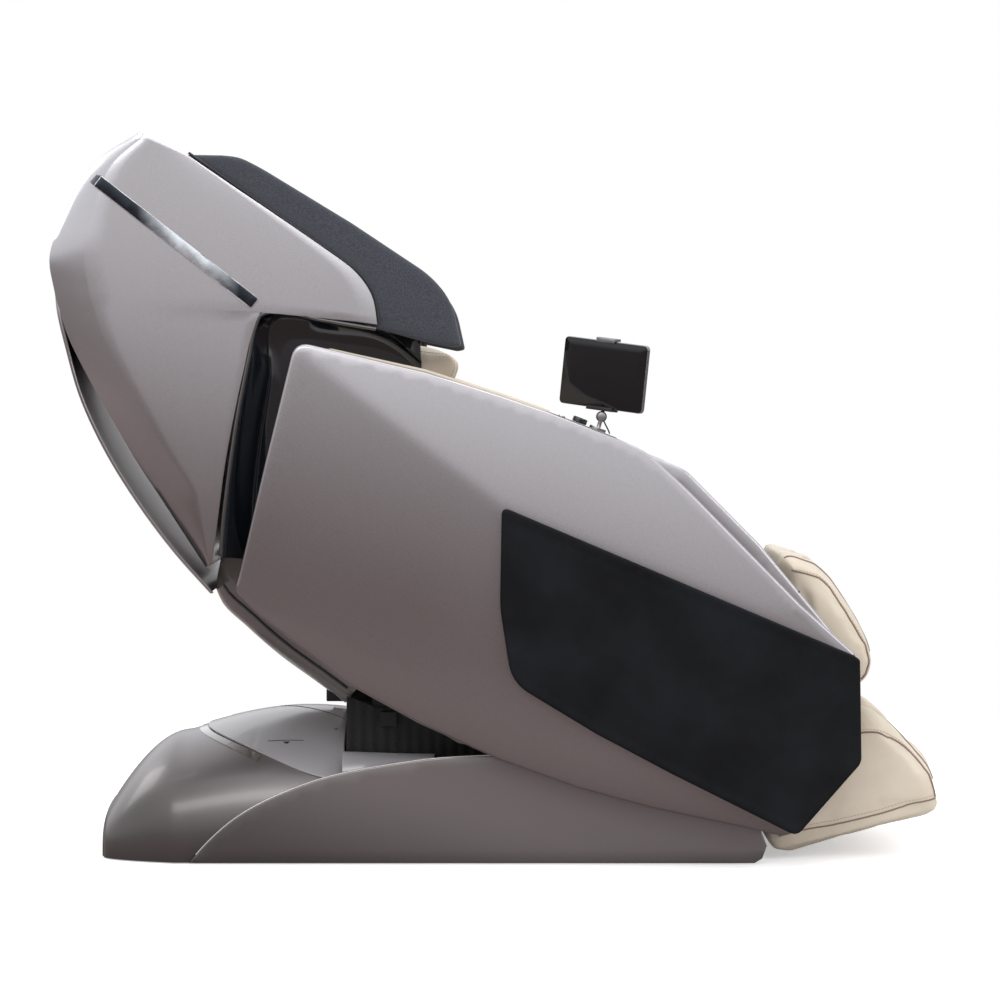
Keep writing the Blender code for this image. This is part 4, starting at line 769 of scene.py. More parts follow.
def from_box(name, low, high, finish, ease=0.002):
    low, high = Vector(low), Vector(high)
    corners = [(x, y, z) for x in (low.x, high.x) for y in (low.y, high.y) for z in (low.z, high.z)]
    faces = [(0, 1, 3, 2), (4, 6, 7, 5), (0, 4, 5, 1), (2, 3, 7, 6), (0, 2, 6, 4), (1, 5, 7, 3)]
    return eased(from_faces(name, corners, faces, finish), ease, 3)


def refined(node, name, finish, slot, body, ease, segments):
    """The CAD node's own shape with its flat faces whole again and its edges rounded."""
    mesh = NODES[node].data.copy()
    mesh.materials.clear()
    bm = bmesh.new()
    bm.from_mesh(mesh)
    bmesh.ops.remove_doubles(bm, verts=bm.verts, dist=1e-6)
    bmesh.ops.dissolve_limit(bm, angle_limit=math.radians(2), verts=bm.verts, edges=bm.edges)
    bm.to_mesh(mesh)
    bm.free()
    shown(eased(make_object(name, mesh, finish), ease, segments), body, slot, node)


def laid(obj, points, lift, down=None):
    """The points moved onto the object's surface, and off it by lift: to the nearest place, or along down."""
    out = []
    for point in points:
        found = down is not None and obj.ray_cast(Vector(point), Vector(down))
        if not found or not found[0]:
            found = obj.closest_point_on_mesh(Vector(point))
        _, at, normal, _ = found
        out.append(at + normal * lift)
    return out


def stitches(name, line, finish, pitch=0.0062, length=0.0040, radius=0.00055):
    """A row of single stitches along the line."""
    points = np.array([tuple(p) for p in line], float)
    s = np.concatenate([[0], np.cumsum(np.linalg.norm(points[1:] - points[:-1], axis=1))])
    body, faces = [], []
    for start in np.arange(pitch, s[-1] - pitch, pitch):
        ends = [np.array([np.interp(at, s, points[:, k]) for k in range(3)]) for at in (start, start + length)]
        along = Vector(ends[1] - ends[0]).normalized()
        across = along.orthogonal().normalized()
        base = len(body)
        for end in ends:
            body += ring(Vector(end), across, along.cross(across), radius, 6)
        faces += [(base + k, base + (k + 1) % 6, base + 6 + (k + 1) % 6, base + 6 + k) for k in range(6)]
        faces += [tuple(base + k for k in range(6)), tuple(base + 6 + k for k in range(6))]
    return from_faces(name, body, faces, finish)


def read(mesh):
    """The mesh's points and their normals, as arrays."""
    points, normals = (np.empty(len(mesh.vertices) * 3, np.float32) for _ in range(2))
    mesh.vertices.foreach_get("co", points)
    mesh.vertex_normals.foreach_get("vector", normals)
    return points.reshape(-1, 3), normals.reshape(-1, 3)


def write(mesh, points):
    mesh.vertices.foreach_set("co", points.astype(np.float32).ravel())
    mesh.update()


def swollen(name, node, finish, cap, voxel, shape=None, frames=20):
    """A stuffed cover: the CAD solid shrunk a little, filled with air as cloth, and kept within cap of where
    it began. shape(points) moves the points of the solid before that."""
    mesh = NODES[node].data.copy()
    mesh.materials.clear()
    obj = make_object(name, mesh, finish, 80)
    remesh = obj.modifiers.new("remesh", "REMESH")
    remesh.mode, remesh.voxel_size = "VOXEL", voxel
    applied(obj, 80)
    start, normals = read(obj.data)
    start = start - normals * cap * 0.75
    if shape:
        start = shape(start)
    write(obj.data, start)
    fill = obj.modifiers.new("fill", "CLOTH")
    fill.settings.quality = 4
    fill.settings.use_pressure, fill.settings.uniform_pressure_force = True, 4.0
    fill.settings.effector_weights.gravity = 0
    fill.point_cache.frame_start, fill.point_cache.frame_end = 1, frames
    for moment in range(1, frames + 1):
        bpy.context.scene.frame_set(moment)
    graph = bpy.context.evaluated_depsgraph_get()
    move = read(obj.evaluated_get(graph).data)[0] - start
    far = np.linalg.norm(move, axis=1, keepdims=True)
    obj.modifiers.clear()
    bpy.context.scene.frame_set(1)
    write(obj.data, start + move * np.minimum(1, cap / np.maximum(far, 1e-9)))
    soften = obj.modifiers.new("soften", "SMOOTH")
    soften.factor, soften.iterations = 0.5, 4
    finer = obj.modifiers.new("finer", "SUBSURF")
    finer.levels = finer.render_levels = 1
    return applied(obj, 80)


def reshaped(obj, move):
    """Moves each point of the object by move(points, normals)."""
    points, normals = read(obj.data)
    write(obj.data, points + move(points, normals))


def groove(where, width, depth):
    """How deep a sewn channel is, at that distance from its line."""
    return -depth * np.exp(-((where / width) ** 2))


# ---- arms --------------------------------------------------------------------------------------
CREASE = [(-0.346, 0.903), (0.020, 0.622), (0.622, 0.374)]
ARM_TOP = [(-0.342, 0.912), (-0.120, 0.859), (0.010, 0.818), (0.098, 0.788), (0.213, 0.744)]
ARM_FRONT = [(0.262, 0.722), (0.330, 0.660), (0.527, 0.459), (0.622, 0.374), (0.627, 0.187), (0.519, 0.062)]
ARM_LOW = [
    (0.499, 0.056), (0.448, 0.068), (0.268, 0.106), (0.147, 0.139), (0.010, 0.188),
    (-0.131, 0.252), (-0.256, 0.321), (-0.404, 0.438), (-0.448, 0.482), (-0.441, 0.505), (-0.395, 0.700),
]
ARM_BODY = [
    (-0.300, 0.893), (-0.120, 0.852), (0.010, 0.812), (0.098, 0.782), (0.213, 0.738), (0.331, 0.690),
    (0.458, 0.562), (0.610, 0.380), (0.620, 0.300), (0.606, 0.215), (-0.060, 0.215), (-0.140, 0.266),
    (-0.256, 0.330), (-0.404, 0.450), (-0.425, 0.505),
]
FOLD_SOFT = 0.012  # half width of the soft turn at the crease
FALL_AWAY, FALL_LEAN = 0.055, 0.017  # slope of the face on both sides of the crease, and the lean of the whole
UNDER_TOP, UNDER_DEPTH = 0.45, 0.007  # the face's lower edge turns in below this height, by this much


def arm_face(x, z):
    """The arm cover's face: it falls away above the crease, and more gently below it."""
    (xa, za), (xb, zb), (xc, zc) = CREASE
    line = np.where(x < xb, za + (zb - za) * (x - xa) / (xb - xa), zb + (zc - zb) * (x - xb) / (xc - xb))
    over = z - line
    return ARM_OUT - FALL_AWAY * (np.sqrt(over**2 + FOLD_SOFT**2) - FOLD_SOFT) - FALL_LEAN * over


def arm_covers():
    outline = rounded(
        ARM_TOP + ARM_FRONT + ARM_LOW,
        [0.028, 0, 0, 0, 0.02, 0.02, 0.03, 0, 0.004, 0.01, 0.008, 0.01, 0, 0, 0, 0, 0, 0, 0, 0.02, 0.01, 0.01],
    )

    def under(depth, x, z):
        return -UNDER_DEPTH * np.clip(1 - depth / 0.07, 0, 1) ** 2 * np.clip((UNDER_TOP - z) / 0.1, 0, 1)

    for side, label in SIDES:
        cover = plate("arm_shell_" + label, outline, arm_face, ARM_SPLIT + 0.0004, 0.0055, side, SHELL, 0.012, under)
        shown(cover, "pod", "shell_paint", "arm_cover_" + label)


ARM_SEAM = (0.5275, 0.4795)  # x and z of a seam that runs in across the arm
ARM_REST = [
    (-0.288, 0.884), (0.092, 0.777), (0.096, 0.7925), (0.010, 0.8225), (-0.118, 0.8635), (-0.288, 0.901),
]
ARM_LINING = [
    (-0.085, 0.800), (0.110, 0.735), (0.300, 0.655), (0.420, 0.530), (0.480, 0.450), (0.440, 0.425),
    (0.020, 0.395), (-0.055, 0.420), (-0.085, 0.560),
]


def arm_bodies():
    """The inner half of each arm, with an upholstered rest on top and a padded lining inside."""
    outline = rounded(ARM_BODY, [0.02, 0, 0, 0, 0, 0.012, 0, 0.006, 0, 0.01, 0.01, 0, 0, 0.02, 0.02])
    for side, label in SIDES:
        body = plate("arm_inner_" + label, outline, flat(ARM_SPLIT), ARM_IN, 0.006, side, SHELL, 0.016, None, True)
        tick = [(ARM_SEAM[0], side * (ARM_SPLIT - 0.001 - 0.09 * k / 8), ARM_SEAM[1]) for k in range(9)]
        seam = tube("arm_seam", tick, 0.0012, BLACK, 6)
        shown(joined("arm_inner_" + label, [body, seam]), "pod", "shell_paint", "arm_body_" + label)
        rest = plate(
            "arm_rest_" + label, rounded(ARM_REST, [0.004, 0.002, 0.004, 0, 0, 0.008]), flat(ARM_SPLIT - 0.0015),
            ARM_IN + 0.004, 0.004, side, HIDE, 0.010, None, True,
        )
        shown(rest, "pod", "cream_leather", fill=0.9)
        lining = plate(
            "arm_lining_" + label, rounded(ARM_LINING, 0.03), flat(ARM_IN + 0.012), ARM_IN - 0.0035,
            0.008, side, HIDE, 0.012, None, True,
        )
        shown(lining, "pod", "cream_leather", fill=0.8)


ARM_PAD = [
    (0.013, 0.628), (0.620, 0.371), (0.629, 0.364), (0.632, 0.187), (0.521, 0.060),
    (0.305, 0.168), (0.175, 0.237), (0.030, 0.325), (0.010, 0.454),
]
PAD_RISE = 0.0022  # how far the pad's border and its middle stand above the sunk line


def arm_pads():
    """Side pads in black hide: a raised border, a sunk line inside it, and a slightly domed middle."""
    outline = rounded(ARM_PAD, [0.016, 0.004, 0.004, 0.010, 0.014, 0, 0, 0.034, 0.02])

    def shape(depth, x, z):
        border = PAD_RISE * np.clip((0.0125 - depth) / 0.002, 0, 1) + groove(depth - 0.0135, 0.0012, 0.0012)
        return border - PAD_RISE + PAD_RISE * np.clip((depth - 0.015) / 0.12, 0, 1) ** 0.7

    for side, label in SIDES:
        face, back = flat(PAD_OUT), ARM_OUT - 0.022
        pad = plate("arm_pad_soft_" + label, outline, face, back, 0.0045, side, PAD_HIDE, 0.009, shape)
        shown(pad, "pod", "black_fabric", "arm_pad_" + label, fill=0.9)


# ---- cushions ----------------------------------------------------------------------------------
BACK_SEAM, BACK_CHANNELS = 0.150, (0.13, 0.21, 0.29, 0.37, 0.45)
SEAT_SEAM, SEAT_CHANNELS = 0.130, (-0.02, 0.08, 0.18, 0.28)


def sewn(points, across, seam, channels, out, channel_depth):
    """How deep the sewing pulls the cover in: two long seams at +-seam, and channels between them."""
    y = np.abs(points[:, 1])
    cross = sum(groove(across - at, 0.007, channel_depth) for at in channels) * (y < seam - 0.002)
    return ((groove(y - seam, 0.006, 0.007) + cross) * np.clip(out, 0, 1) ** 2)[:, None]


def back_cushion():
    """The back cushion with cross channels and two upright seams."""
    cushion = swollen("back_cushion_soft", "back_cushion", HIDE, 0.010, 0.008)

    def sew(points, normals):
        along = (points - np.array(HIP)) @ np.array(BACK_UP)
        return normals * sewn(points, along, BACK_SEAM, BACK_CHANNELS, normals @ np.array(BACK_OUT), 0.006)

    reshaped(cushion, sew)
    seams = []
    for side, _ in SIDES:
        start = HIP + BACK_OUT * 0.16 + Vector((0, side * BACK_SEAM, 0))
        line = [start + BACK_UP * along for along in np.linspace(0.075, 0.52, 60)]
        seams.append(tube("seam", laid(cushion, line, 0.0006, -BACK_OUT), 0.0018, PIPING, 8))
    shown(cushion, "backrest", "cream_leather", "back_cushion", fill=0.7)
    shown(joined("back_cushion_piping", seams), "backrest", "cream_leather")


def head_pillow():
    """The pillow, with one welt round its face."""
    pillow = swollen("head_pillow_soft", "head_pillow", HIDE, 0.012, 0.006)
    line = []
    for k in range(72):
        t = 2 * math.pi * k / 72
        c, s = math.cos(t), math.sin(t)
        y = 0.150 * math.copysign(abs(c) ** 0.5, c)
        along = 0.636 + 0.072 * math.copysign(abs(s) ** 0.5, s)
        line.append(HIP + BACK_UP * along + BACK_OUT * 0.12 + Vector((0, y, 0)))
    welt = tube("head_pillow_piping", laid(pillow, line, 0.0004), 0.0018, PIPING, 8, closed=True)
    shown(pillow, "backrest", "cream_leather", "head_pillow", fill=0.7)
    shown(welt, "backrest", "cream_leather")


SHOULDER_EDGE = [
    (-0.202, 0.912), (-0.120, 0.899), (-0.078, 0.889), (-0.066, 0.878), (-0.074, 0.848), (-0.100, 0.825),
]


def shoulder_pads():
    """Two shoulder pads, each with a row of stitches along its outer edge."""
    for side, label in SIDES:
        node = "shoulder_pad_" + label
        pad = swollen(node + "_soft", node, HIDE, 0.007, 0.006)
        line = laid(pad, [(x, side * 0.262, z) for x, z in smooth_line(SHOULDER_EDGE, 40)], 0.0004)
        sewing = stitches(node + "_stitching", line, THREAD)
        shown(pad, "backrest", "cream_leather", node, fill=0.7)
        shown(sewing, "backrest", "cream_leather")


def seat_cushion():
    """The seat cushion with cross channels and two long seams."""
    cushion = swollen("seat_cushion_soft", "seat_cushion", HIDE, 0.012, 0.008)

    def sew(points, normals):
        return normals * sewn(points, points[:, 0], SEAT_SEAM, SEAT_CHANNELS, normals[:, 2], 0.005)

    reshaped(cushion, sew)
    seams = []
    for side, _ in SIDES:
        line = [(x, side * SEAT_SEAM, 0.62) for x in np.linspace(-0.10, 0.36, 50)]
        seams.append(tube("seam", laid(cushion, line, 0.0006, (0, 0, -1)), 0.0018, PIPING, 8))
    shown(cushion, "pod", "cream_leather", "seat_cushion", fill=0.7)
    shown(joined("seat_cushion_piping", seams), "pod", "cream_leather")


# ---- leg rest ----------------------------------------------------------------------------------
SHOULDER = 0.075  # how far in from the side a leg unit's top reaches its full height


def leg_unit(node, pivot, fall, low, high):
    """A padded leg unit whose side walls round off towards the pivot, more so from low up to high."""

    def settle(points):
        t = np.clip((np.abs(points[:, 1]) - (LEG_HALF - SHOULDER)) / SHOULDER, 0, 1)
        rise = np.clip((points[:, 2] - low) / (high - low), 0, 1)
        share = fall * (1 - np.sqrt(1 - np.minimum(t, 0.999) ** 2)) * rise
        out = points.copy()
        for axis, centre in zip((0, 2), pivot):
            out[:, axis] += (centre - points[:, axis]) * share
        return out

    return swollen(node + "_soft", node, HIDE, 0.006, 0.006, settle)


CALF_EDGE = [
    (0.508, 0.5105), (0.544, 0.510), (0.566, 0.5066), (0.5896, 0.4978), (0.616, 0.4714),
    (0.6365, 0.4416), (0.6563, 0.4035), (0.670, 0.368), (0.668, 0.340), (0.652, 0.312),
]
CALF_RIDGE = [
    (0.508, 0.536), (0.530, 0.538), (0.5539, 0.534), (0.5716, 0.527), (0.600, 0.496), (0.640, 0.432),
    (0.672, 0.366),
]
FOOT_EDGE = [
    (0.500, 0.2270), (0.6445, 0.2266), (0.678, 0.2259), (0.709, 0.2168), (0.7397, 0.199),
    (0.7629, 0.1758), (0.781, 0.1526), (0.790, 0.112),
]
FOOT_RIDGE = [
    (0.500, 0.250), (0.6518, 0.2491), (0.694, 0.2422), (0.741, 0.2110), (0.770, 0.176), (0.786, 0.140),
]
FOOT_HEM = [(0.500, 0.014), (0.627, 0.040), (0.786, 0.083)]  # the foot unit's lower edge
LEG_EDGE = LEG_HALF + 0.004


def welts(unit, label, edge, ridge, ridge_in):
    """Two lines of piping and a row of stitches beside each, along both sides of a leg unit."""
    pieces, sewing = [], []
    for side, _ in SIDES:
        for line, y in ((edge, LEG_EDGE), (ridge, LEG_HALF - ridge_in)):
            points = smooth_line(line, 70)
            pieces.append(tube("welt", laid(unit, [(x, side * y, z) for x, z in points], 0.0003), 0.0017, PIPING, 8))
            inner = [(x - 0.003, side * (y - 0.009), z + 0.002) for x, z in points]
            sewing.append(stitches("row", laid(unit, inner, 0.0002), THREAD))
    return joined(label + "_piping", pieces), joined(label + "_stitching", sewing)


def calf():
    unit = leg_unit("calf_unit", (0.665, 0.350), 0.19, 0.36, 0.46)
    piping, sewing = welts(unit, "calf", CALF_EDGE, CALF_RIDGE, 0.045)
    shown(unit, "leg", "cream_leather", "calf_unit", fill=0.75)
    shown(piping, "leg", "cream_leather")
    shown(sewing, "leg", "cream_leather")


def foot():
    unit = leg_unit("foot_unit", (0.785, 0.100), 0.29, 0.11, 0.20)
    piping, sewing = welts(unit, "foot", FOOT_EDGE, FOOT_RIDGE, 0.050)
    hem, rows = [], []
    for side, _ in SIDES:
        paths = []
        for lift in (0.026, 0.033):
            line = smooth_line([(x, z + lift) for x, z in FOOT_HEM], 60)
            paths.append(laid(unit, [(x, side * LEG_EDGE, z) for x, z in line], 0.0002))
        hem.append(tube("hem", paths[0], 0.0015, PIPING, 8))
        rows.append(stitches("row", paths[1], THREAD))
    shown(unit, "foot", "cream_leather", "foot_unit", fill=0.75)
    shown(joined("foot_piping_all", [piping] + hem), "foot", "cream_leather")
    shown(joined("foot_stitching_all", [sewing] + rows), "foot", "cream_leather")


# ---- base --------------------------------------------------------------------------------------
SIDE_TOP = [
    (-0.534, FLOOR_CLEAR), (-0.500, 0.040), (-0.463, 0.073), (-0.338, 0.138), (-0.151, 0.180), (0.10, 0.196),
]
SIDE_FRONT = [(0.40, 0.165), (0.466, 0.060), (0.476, 0.032), (0.468, 0.010), (0.455, FLOOR_CLEAR)]


def base_side_covers():
    outline = [tuple(p) for p in smooth_line(SIDE_TOP, 40)] + SIDE_FRONT
    for side, label in SIDES:
        lip = [(x, side * (BASE_HALF - 0.0012), z - 0.0005) for x, z in smooth_line(SIDE_TOP, 70)[2:]]
        face, back = flat(BASE_HALF), BASE_HALF - 0.006
        cover = plate("base_side", outline, face, back, 0.0035, side, BASE, 0.016, None, True)
        # The bead's pale paint is a painted highlight along the cover's curved top edge.
        bead = tube("bead", lip, 0.0016, PAINTED_HIGHLIGHT_PAINT, 8)
        shown(joined("base_side_" + label, [cover, bead]), "base", "base_paint", "base_side_cover_" + label)


# The rear cover: x of its tail, its two turns and its front edge, then its half width and heights there.
TAIL, KNEE, CROWN, REAR_END = -0.692, -0.560, -0.340, -0.265
TAIL_HALF, TAIL_HIGH, KNEE_HIGH, CROWN_RISE = 0.240, 0.085, 0.203, 0.041


def rear_section(x):
    """Half width and height of the rear cover at x."""
    if x < KNEE:
        t = max(0.0, (x - TAIL) / (KNEE - TAIL))
        rise = math.sin(t * math.pi / 2) ** 0.9
        return TAIL_HALF + (REAR_HALF - TAIL_HALF) * t**0.5, TAIL_HIGH + (KNEE_HIGH - TAIL_HIGH) * rise
    t = min(1, (x - KNEE) / (CROWN - KNEE))
    return REAR_HALF, KNEE_HIGH + CROWN_RISE * math.sin(t * math.pi / 2) - max(0, x - CROWN) ** 2 * 0.9


def rear_height(x, y):
    """How high the rear cover stands at that place."""
    half, height = rear_section(x)
    share = min(1, abs(y) / half)
    return FLOOR_CLEAR + (height - FLOOR_CLEAR) * max(0.0, 1 - share**2) ** (1 / 3.6)


def rear_cover():
    """The domed cover over the rear of the base, its rear end rolled under."""
    grid = []
    shares = [math.copysign(1 - (1 - abs(k / 32)) ** 1.7, k) for k in range(-32, 33)]
    for k in range(4):
        turn = k / 4 * math.pi / 2
        x, shrink = TAIL - 0.003 * math.cos(turn), 1 - 0.035 * (1 - math.sin(turn))
        row = [(TAIL_HALF * s, rear_height(TAIL, TAIL_HALF * s)) for s in shares]
        grid.append([(x, y * shrink, z * shrink + FLOOR_CLEAR * 0.5) for y, z in row])
    for k in range(45):
        x = TAIL + (REAR_END - TAIL) * (k / 44) ** 1.6
        half = rear_section(x)[0]
        grid.append([(x, half * s, rear_height(x, half * s)) for s in shares])
    cover = grid_shell("base_rear", grid, 0.005, (-0.45, 0, 0.05), BASE, cap=True)
    low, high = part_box("mains_panel")
    slack = 0.0005
    low, high = (-0.75, low.y - slack, low.z - slack), (-0.66, high.y + slack, high.z + slack)
    cutter = from_box("cutter", low, high, BLACK, 0.001)
    opening = cover.modifiers.new("opening", "BOOLEAN")
    opening.object, opening.operation, opening.solver = cutter, "DIFFERENCE", "EXACT"
    applied(cover)
    bpy.data.objects.remove(cutter, do_unlink=True)
    shown(cover, "base", "base_paint", "base_rear_cover")


LID_REAR, LID_FRONT, LID_HALF = -0.524, -0.2665, 0.300
LID_RISE, BORDER_RISE = 0.0046, 0.0012  # how far they stand on the rear cover


def lid_half(x, grow=0.0):
    """Half width of the lid at x: a long rounded nose that opens towards the seat."""
    back = (LID_FRONT - x) / (LID_FRONT - LID_REAR + grow)
    return (LID_HALF + grow) * math.sqrt(max(0.0003, 1 - min(1, max(0, back)) ** 2.2))


def lid_line(grow, count):
    """Points along the lid's edge, from its right front corner round the nose to the left one."""
    turns = [math.pi * (k / (count - 1) - 0.5) for k in range(count)]
    xs = [LID_FRONT - (LID_FRONT - LID_REAR + grow) * math.cos(t) ** 0.9 for t in turns]
    return [(x, math.copysign(lid_half(x, grow), t)) for x, t in zip(xs, turns)]


def base_hatch():
    """The lid on the rear cover with its engraved grip and seam, a brown border round its nose, and screws."""
    lid, below = [], (-0.38, 0, -0.5)
    shares = np.sin(np.linspace(-1, 1, 41) * math.pi / 2)
    for k in range(40):
        x = LID_REAR + 0.0004 + (LID_FRONT - LID_REAR - 0.0004) * (k / 39) ** 1.8
        half = lid_half(x)
        lid.append([(x, half * s, rear_height(x, half * s) + LID_RISE) for s in shares])
    pieces = [grid_shell("lid", lid, 0.003, below, LID, ease=0.001)]
    border = []
    for grow in (0.0015, 0.006, 0.011, 0.0155):
        border.append([(x, y, rear_height(x, y) + BORDER_RISE) for x, y in lid_line(grow, 81)[14:-14]])
    pieces.append(grid_shell("border", border, 0.0015, below, BROWN_GLOSS, ease=0))
    marks = [[(-0.402 + 0.064 * k / 10, -0.224 - 0.004 * k / 10) for k in range(11)]]
    marks += [[(-0.395 + 0.126 * k / 12, 0.03 - 0.150 * k / 12) for k in range(13)]]
    for line in marks:
        path = [(x, y, rear_height(x, y) + LID_RISE + 0.0001) for x, y in line]
        pieces.append(tube("mark", path, 0.0007, BLACK, 6))
    arrow = [(x, -0.231 + dy) for x, dy in ((-0.3745, 0), (-0.3685, -0.006), (-0.3625, 0))]
    z = max(rear_height(x, y) for x, y in arrow) + 0.0051
    body = [(x, y, z - drop) for drop in (0, 0.003) for x, y in arrow]
    faces = [(0, 1, 2), (3, 5, 4), (0, 3, 4, 1), (1, 4, 5, 2), (2, 5, 3, 0)]
    pieces.append(from_faces("arrow", body, faces, BLACK))
    for y in (-0.180, 0.180):
        top = rear_height(-0.283, y) + 0.0044
        pieces.append(tube("screw", [(-0.283, y, top), (-0.283, y, top + 0.0012)], 0.0026, BLACK, 16))
    shown(joined("base_lid", pieces), "base", "base_paint", "base_hatch")


WING_REAR, WING_FRONT, WING_IN = -0.2660, -0.105, 0.279


def base_wings():
    """The lid's two arms, running forward beside the slide along the side covers' upper edge."""
    tops = smooth_line(SIDE_TOP, 80)
    pieces = []
    for side, _ in SIDES:
        grid = []
        for k in range(16):
            x = WING_REAR + (WING_FRONT - WING_REAR) * k / 15
            low = float(np.interp(x, tops[:, 0], tops[:, 1])) + 0.0005
            rise = 0.030 * (1 - k / 15) ** 1.3 + 0.003
            section = [
                (0.3222, -0.012), (0.3222, 0), (0.316, rise * 0.35), (0.300, rise * 0.8),
                (WING_IN + 0.004, rise), (WING_IN, rise - 0.004), (WING_IN, -0.050),
            ]
            grid.append([(x, side * y, low + z) for y, z in section])
        pieces.append(grid_shell("wing", grid, 0.002, (-0.19, side * 0.30, 0.05), LID, ease=0.0006))
    shown(joined("base_lid_arms", pieces), "base", "base_paint")


SKIRT_REAR, SKIRT_FRONT, SKIRT_Y = -0.2600, -0.020, 0.2735


def skirt_ends(x):
    """Heights of the skirt's upper and lower edge at x, under the arm and behind it."""
    top = min(0.2960, 0.268 + 0.40 * (-0.205 - x)) if x < -0.205 else 0.268 - 0.30 * max(0.0, x + 0.165)
    return top, 0.176 + 0.22 * max(0.0, -0.200 - x)


def pod_skirt():
    """Ribbed dark skirts that hang from the pod over the gap beside the tilt shaft."""
    pieces = []
    for side, _ in SIDES:
        grid = []
        for k in range(97):
            x = SKIRT_REAR + (SKIRT_FRONT - SKIRT_REAR) * k / 96
            fold = 0.0022 * math.sin(k * math.pi / 4)
            top, low = skirt_ends(x)
            row = [(SKIRT_Y + fold * (0.4 + 0.15 * step), top + (low - top) * step / 4) for step in range(5)]
            grid.append([(x, side * y, z) for y, z in row])
        pieces.append(grid_shell("skirt", grid, 0.0012, (-0.15, 0, 0.22), SKIRT, ease=0))
    shown(joined("pod_skirts", pieces), "pod", "black_fabric")


# ---- controls and tablet ------------------------------------------------------------------------
TABLET_AT = Vector((0.1915, -0.335, 0.8545))
TABLET_TURN = Matrix.Rotation(math.radians(-33), 4, "Z") @ Matrix.Rotation(math.radians(6.7), 4, "Y")
TABLET_SIZE = (0.170, 0.118, 0.008)


def tablet():
    """A generic tablet, its screen off: a grey rim, a black glass front and a dark back with a lens."""
    w, h, t = (size / 2 for size in TABLET_SIZE)

    def panel(name, inset, radius, front, back, edge, finish):
        x, z = w - inset, h - inset
        outline = rounded([(-x, -z), (x, -z), (x, z), (-x, z)], radius, 8)
        return plate(name, outline, flat(front), back, edge, -1, finish, 0.012, None, True)

    lens_x, lens_z, key_x = w - 0.014, h - 0.014, w - 0.0005
    pieces = [
        panel("case", 0, 0.009, t, -t, 0.0016, GREY),
        panel("front", 0.0012, 0.008, t + 0.0003, t - 0.001, 0.0003, SCREEN),
        panel("back", 0.0014, 0.008, -t + 0.001, -t - 0.0002, 0.0003, BLACK),
        tube("lens", [(lens_x, t - 0.001, lens_z), (lens_x, t + 0.0012, lens_z)], 0.0045, SCREEN, 24),
        tube("key", [(key_x, 0, h - 0.030), (key_x, 0, h - 0.018)], 0.0012, GREY),
    ]
    piece = joined("tablet_unit", pieces)
    piece.data.transform(Matrix.Translation(TABLET_AT) @ TABLET_TURN)
    shown(piece, "tablet_head", "screen_glass", "tablet")


# ---- the rest of the CAD pieces -----------------------------------------------------------------
REFINED = [  # CAD node, piece, finish, slot, body, radius of its edges, segments in that
    ("control_panel", "control_strip", GLOSS, "dark_gloss", "pod", 0.0012, 3),
    ("power_button", "power_key_cap", BRIGHT, "bright_steel", "power_key", 0.0006, 3),
    ("control_dial", "dial_knob", GLOSS, "dark_gloss", "dial", 0.0012, 3),
    ("tablet_cradle", "holder_cradle", BLACK, "black_plastic", "tablet_head", 0.0008, 2),
    ("tablet_jaw", "holder_jaw", GREY, "black_plastic", "tablet_clamp", 0.0008, 2),
    ("tablet_stand", "holder_stand", GREY_STEEL, "black_plastic", "pod", 0.0006, 2),
    ("front_foot_bar", "foot_bar_front", RUBBER, "black_plastic", "base", 0.003, 3),
    ("rear_foot_bar", "foot_bar_rear", RUBBER, "black_plastic", "base", 0.003, 3),
    ("base_front_cover", "base_front_panel", BASE, "base_paint", "base", 0.002, 3),
    ("power_unit", "power_box", BLACK, "black_plastic", "base", 0.004, 3),
    ("mains_panel", "mains_plate", BLACK, "black_plastic", "base", 0.0008, 2),
    ("mains_switch", "mains_rocker_cap", BLACK, "black_plastic", "mains_rocker", 0.0008, 2),
    ("transport_wheel_right", "wheel_right", RUBBER, "black_plastic", "wheel_right", 0.002, 2),
    ("transport_wheel_left", "wheel_left", RUBBER, "black_plastic", "wheel_left", 0.002, 2),
]
KEPT = {
    COATED: ("base_frame", "slide_carriage", "seat_frame", "back_frame", "leg_frame"),
    BRIGHT: ("tilt_shaft", "tilt_actuator_rod", "recline_actuator_rod", "kneading_arm_right", "kneading_arm_left"),
    BLACK: ("massage_carriage", "leg_drive", "tilt_actuator", "recline_actuator"),
    RUBBER: ("massage_roller_right", "massage_roller_left", "sole_roller"),
}


def kept_pieces():
    """CAD pieces whose shape is right: they get a finish, and the smaller ones rounded edges too."""
    for row in REFINED:
        refined(*row)
    for finish, names in KEPT.items():
        for name in names:
            NODES[name].data.materials.clear()
            NODES[name].data.materials.append(finish)


# ---- floor and light ----------------------------------------------------------------------------
FLOOR_SIZE, FLOOR_GLOW = 2.6, 0.42
FLOOR_MIRRORED = (0.33, 0.27, 0.26)  # the floor's colour in reflections
SKY_LOW, SKY_HIGH, BACKDROP = (0.25, 0.20, 0.19), (1.16, 1.17, 1.21), (1.0, 1.0, 1.0)
SKY_EDGE = 0.12  # how far up the sky turns from low to high
LIGHTS = [  # name, place, what it faces, size and power
    ("key", (-1.4, -4.6, 3.6), (-0.1, 0, 0.7), (4.0, 1.6), 75),
    ("top", (0.2, 0.2, 4.2), (0, 0, 0.6), (4.0, 2.6), 60),
    ("front", (3.8, -2.4, 2.4), (0.2, 0, 0.6), (1.8, 2.2), 40),
    ("rear", (-3.6, 2.6, 3.0), (-0.2, 0, 0.7), (2.4, 1.8), 35),
]


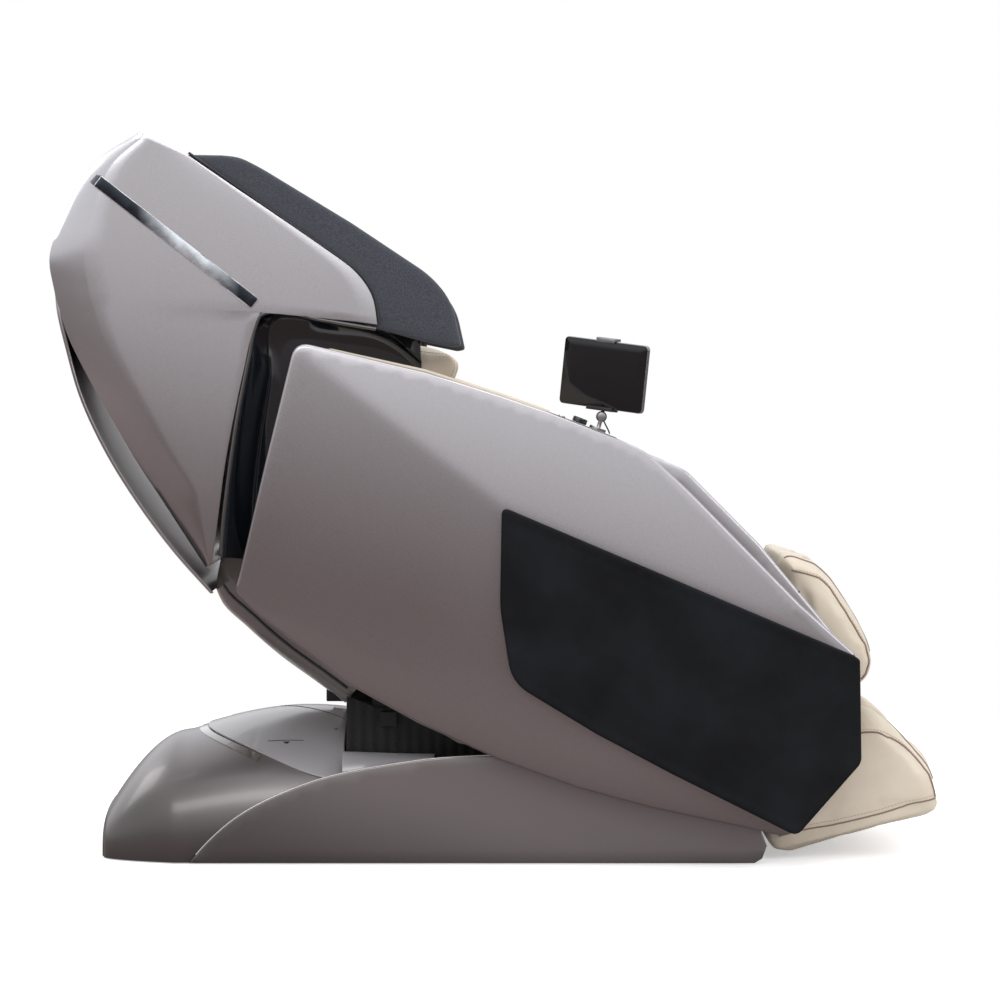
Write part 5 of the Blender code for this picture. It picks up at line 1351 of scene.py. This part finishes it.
def pale_floor():
    """A white studio floor, lit a little from below; what it throws back on the chair is dimmer."""
    ground = Finish("pale_floor", (0.85, 0.85, 0.85), Emission_Color=(1, 1, 1, 1))
    ground.tint(ground.noise(30.0), (0.83, 0.83, 0.83), (0.87, 0.87, 0.87))
    ground.rough(ground.noise(12.0), 0.7, 0.8)
    path = ground.node("ShaderNodeLightPath").outputs
    glow = ground.spread(path["Is Camera Ray"], 0, 1, 0.0, FLOOR_GLOW)
    ground.tree.links.new(glow, ground.shader.inputs["Emission Strength"])
    seen = ground.sum(path["Is Camera Ray"], path["Is Diffuse Ray"], "MAXIMUM")
    dark = ground.node("ShaderNodeBsdfDiffuse", {"Color": (*FLOOR_MIRRORED, 1)})
    mix = ground.node("ShaderNodeMixShader", {0: seen, 1: dark.outputs[0], 2: ground.shader.outputs[0]})
    ground.tree.links.new(mix.outputs[0], ground.tree.nodes["Material Output"].inputs["Surface"])
    return ground.made


def stage():
    """A plain pale floor under a pale sky, and large soft lights."""
    rim = ring(Vector(), Vector((1, 0, 0)), Vector((0, 1, 0)), FLOOR_SIZE, 96)
    from_faces("floor", rim, [tuple(range(96))], pale_floor())
    world = bpy.data.worlds.new("studio")
    bpy.context.scene.world = world
    world.use_nodes = True
    sky = Graph(world.node_tree)
    up = sky.node("ShaderNodeTexCoord").outputs["Generated"]
    height = sky.node("ShaderNodeSeparateXYZ", {0: up}).outputs["Z"]
    lit = sky.blend(sky.spread(height, 0.0, SKY_EDGE), SKY_LOW, SKY_HIGH)
    seen = sky.node("ShaderNodeLightPath").outputs["Is Camera Ray"]
    sky.tree.links.new(sky.blend(seen, lit, BACKDROP), sky.tree.nodes["Background"].inputs["Color"])
    for name, at, target, size, power in LIGHTS:
        data = bpy.data.lights.new(name, "AREA")
        data.shape, data.size, data.size_y, data.energy = "RECTANGLE", size[0], size[1], power
        lamp = bpy.data.objects.new(name, data)
        bpy.context.scene.collection.objects.link(lamp)
        lamp.location = at
        lamp.rotation_euler = (Vector(target) - Vector(at)).to_track_quat("-Z", "Y").to_euler()
    view = bpy.context.scene.view_settings
    view.view_transform, view.exposure = "Standard", 0.0


MAKERS = [
    add_camera, usb_cable, stage, hood, hood_strips, hood_pads, side_trims, back_cover, lower_shell,
    arm_covers, arm_bodies, arm_pads, base_side_covers, rear_cover, base_hatch, base_wings, pod_skirt,
    tablet, kept_pieces, back_cushion, head_pillow, shoulder_pads, seat_cushion, calf, foot,
]
for make in MAKERS:
    make()
